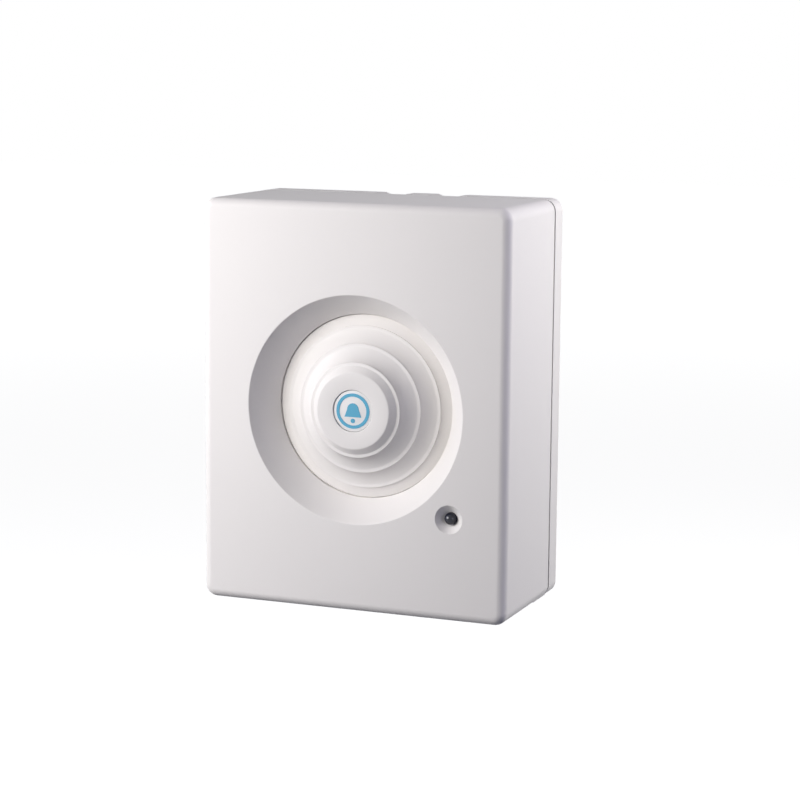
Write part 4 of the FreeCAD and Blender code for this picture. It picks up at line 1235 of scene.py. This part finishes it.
@dataclass
class Choke:
    """Copper winding of the drum choke, turn beside turn."""

    turns: int = 7
    inner_radius: float = 2.6
    arc_steps: int = 5
    roundness: float = 0.98

    def build(self) -> None:
        """Turn the winding and place it."""
        low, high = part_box("coil_winding")
        wire = (high[1] - low[1]) / self.turns
        outer = (high[0] - low[0]) / 2 - wire / 2
        outline = [(self.inner_radius * MM, low[1])]
        for turn in range(self.turns):
            middle = low[1] + wire * (turn + 0.5)
            for step in range(self.arc_steps + 1):
                angle = math.pi * step / self.arc_steps - math.pi / 2
                reach = wire / 2 * self.roundness * math.sin(angle)
                outline.append((outer + wire / 2 * math.cos(angle), middle + reach))
        outline.append((self.inner_radius * MM, high[1]))
        winding = lathe("choke_winding", outline, axis_of("coil_winding"), sides=48, closed=True)
        dress(smooth(winding, degrees=50), COPPER.material())
        stand_for(winding, Body.BASE, "copper", "coil_winding")


@dataclass
class Capacitor:
    """Round sleeved capacitor with a scored aluminium top."""

    box: tuple[Vector, Vector]
    score: float = 0.3
    score_depth: float = 0.15
    score_margin: float = 1.2
    score_rise: float = 0.5
    score_edge: float = 0.02
    top_sunk: float = 0.1
    sleeve_lip: float = 0.85
    stripe_degrees: float = 50.0

    def build(self, number: int) -> Piece:
        """Turn the can, score its top and paint it."""
        low, high = self.box
        centre = middle_of(low, high)
        radius = (high.x - low.x) / 2 / MM
        top, foot = low.y / MM, high.y / MM
        metal = top + self.top_sunk
        corners = [
            (0.0, metal, 0.0), (radius - 1.0, metal, 0.1), (radius - 0.8, top, 0.1), (radius, top, 0.5),
            (radius, foot - 1.7, 0.2), (radius - 0.25, foot - 1.35, 0.2), (radius, foot - 1.0, 0.2),
            (radius, foot, 0.1), (0.0, foot, 0.0),
        ]
        can = lathe("capacitor_%d" % number, set_back(eased(corners), 0.0), centre, sides=64)
        thin, long = self.score / 2, radius - self.score_margin
        for half_x, half_z in ((thin, long), (long, thin)):
            near = (centre[0] - half_x * MM, (top - self.score_rise) * MM, centre[1] - half_z * MM)
            far = (centre[0] + half_x * MM, (metal + self.score_depth) * MM, centre[1] + half_z * MM)
            carve(can, rounded_bar("score", near, far, self.score_edge * MM, segments=1))

        def part(place: Vector) -> int:
            across, up = place.x - centre[0], place.z - centre[1]
            if math.hypot(across, up) < (radius - self.sleeve_lip) * MM:
                return 1
            return 2 if abs(math.degrees(math.atan2(up, across)) - 90) < self.stripe_degrees / 2 else 0

        finishes = (finish.material() for finish in (CAP_SLEEVE, ALUMINIUM, PALE_STRIPE))
        paint(smooth(can), part, *finishes)
        return can


@dataclass
class SmallParts:
    """The board's capacitors, chips, flat chip and solder, each built from its solid's place."""

    nodes: dict[str, Piece]
    cap_length: float = 0.45
    body_sunk: float = 0.04
    body_edge: float = 0.05
    cap_edge: float = 0.08
    flat_chip_edge: float = 0.08
    leg_reach: float = 2.45
    dimple_place: Point = (-2.6, -2.4)
    dimple_radii: Point = (0.55, 0.5)
    dimple_span: Point = (-0.5, 0.15)
    solder_radius: float = 0.85
    solder_height: float = 0.5
    aerial_solder: float = 1.4

    def capacitors(self) -> None:
        """Both round capacitors as one piece."""
        cans = [Capacitor(box).build(index) for index, box in enumerate(islands(self.nodes["capacitors"]), 1)]
        stand_for(joined("round_capacitors", cans), Body.BASE, "capacitor_sleeve", "capacitors")

    def chips(self) -> None:
        """Small chips: a dark body between two tinned ends."""
        made = []
        cap, sunk = self.cap_length * MM, self.body_sunk * MM
        for low, high in islands(self.nodes["chip_parts"]):
            body_low = (low.x + sunk, low.y + sunk, low.z + cap)
            body_high = (high.x - sunk, high.y, high.z - cap)
            body = rounded_bar("chip", body_low, body_high, self.body_edge * MM)
            made.append(dress(body, CHIP_BODY.material()))
            for start, end in ((low.z, low.z + cap), (high.z - cap, high.z)):
                near, far = (low.x, low.y, start), (high.x, high.y, end)
                end_piece = rounded_bar("chip_end", near, far, self.cap_edge * MM)
                made.append(dress(end_piece, SOLDER.material()))
        stand_for(joined("small_chips", made), Body.BASE, "ceramic", "chip_parts")

    def flat_chip(self) -> None:
        """The flat chip: black body, tinned legs and a pin-one dimple."""
        chip = softened(self.nodes["microcontroller"], "flat_chip", self.flat_chip_edge)
        low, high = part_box("microcontroller")
        middle = (low[0] + high[0]) / 2
        place = (middle + self.dimple_place[0] * MM, high[2] + self.dimple_place[1] * MM)
        start, end = (low[1] + depth * MM for depth in self.dimple_span)
        wide, narrow = millimetres(*self.dimple_radii)
        dimple = [(0.0, start), (wide, start), (narrow, end), (0.0, end)]
        carve(chip, lathe("dimple", dimple, place, sides=32))
        legs = (high[0] - low[0]) / 2 - self.leg_reach * MM
        paint(chip, lambda face: int(abs(face.x - middle) > legs), BLACK.material(), SOLDER.material())
        stand_for(chip, Body.BASE, "black_plastic", "microcontroller")

    def cone(self, centre: Point, seat: float, wide: float, tall: float) -> Piece:
        """One mound of solder on a board's face."""
        shape = ((0.0, 0.0), (1.0, 0.0), (0.95, 0.15), (0.6, 0.45), (0.42, 0.9), (0.25, 1.0), (0.0, 1.0))
        outline = set_back(((radius * wide, -height * tall) for radius, height in shape), seat)
        return dress(smooth(lathe("solder", outline, centre, sides=20), degrees=60), SOLDER.material())

    def solder(self) -> None:
        """Solder over the radio board's legs, round the sounder's legs and on the aerial's end."""
        cones = []
        radio_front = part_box("radio_board")[0][1]
        board_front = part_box("main_board")[0][1]
        for node, seat in (("radio_pins", radio_front), ("sounder_pins", board_front)):
            for box in islands(self.nodes[node]):
                cones.append(self.cone(middle_of(*box), seat, self.solder_radius, self.solder_height))
        low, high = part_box("antenna_wire")
        wire = radio_front - low[1]
        end = (high[0] - wire / 2, low[2] + wire)
        cones.append(self.cone(end, radio_front, self.aerial_solder, self.aerial_solder))
        stand_for(joined("solder_cones", cones), Body.BASE, "bright_metal")

    def build(self) -> None:
        """Build them all."""
        self.capacitors()
        self.chips()
        self.flat_chip()
        self.solder()


@dataclass
class Legend:
    """White print on the board: a plain outline round each larger part, with no words."""

    nodes: dict[str, Piece]
    line: float = 0.22
    height: float = 0.02
    margin: float = 0.55
    edge: float = 0.005
    squares: tuple[str, ...] = (
        "radio_board", "microcontroller", "dip_switch", "volume_trimmer", "learn_switch", "battery_header",
        "crystal_can")
    rounds: tuple[str, ...] = ("capacitors", "inductor_core", "sounder_housing")

    def square(self, node: str, seat: float) -> Piece:
        """Square outline round one part."""
        low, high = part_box(node)

        def block(name: str, grown: float, top: float, foot: float) -> Piece:
            near, far = (low[0] - grown, top, low[2] - grown), (high[0] + grown, foot, high[2] + grown)
            return rounded_bar(name, near, far, self.edge * MM, segments=1)

        top, foot = seat - self.height * MM, seat + self.height * MM
        plate = block("legend", (self.margin + self.line) * MM, top, foot)
        carve(plate, block("middle", self.margin * MM, top - MM, foot + MM))
        return plate

    def ring(self, low: Vector, high: Vector, seat: float) -> Piece:
        """Round outline round one part."""
        inner = (high[0] - low[0]) / 2 + self.margin * MM
        outer = inner + self.line * MM
        top, foot = seat - self.height * MM, seat + self.height * MM
        outline = [(inner, foot), (inner, top), (outer, top), (outer, foot)]
        return lathe("legend", outline, middle_of(low, high), sides=96, closed=True)

    def build(self) -> None:
        """Print every outline."""
        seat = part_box("main_board")[0][1]
        marks = [self.square(node, seat) for node in self.squares]
        for node in self.rounds:
            marks += [self.ring(low, high, seat) for low, high in islands(self.nodes[node])]
        for mark in marks:
            dress(mark, MARK.material())
        stand_for(joined("board_legend", marks), Body.BASE, "green_board")


def main() -> None:
    """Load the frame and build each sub-assembly in order."""
    logging.basicConfig(level=logging.INFO, format="%(message)s")
    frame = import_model()
    Studio().build()
    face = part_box("front_cover")[0][1]
    axis = axis_of("sounder_dome")
    Cover(axis).build()
    SteppedDome(face, axis).build()
    Badge(face, axis).build()
    IndicatorLens().build()
    nodes = frame["nodes"]
    for trim in BACK_TRIMS + TRAY_TRIMS:
        trim.build(nodes)
    for number in range(1, 5):
        node = "battery_cell_%d" % number
        Cell(node, nodes[node]).build()
    for trim in SOUNDER_TRIMS + BOARD_TRIMS:
        trim.build(nodes)
    Choke().build()
    SmallParts(nodes).build()
    Legend(nodes).build()
    for node, finish in KEPT_SOLIDS.items():
        dress(nodes[node], finish.material())


if __name__ == "__main__":
    main()
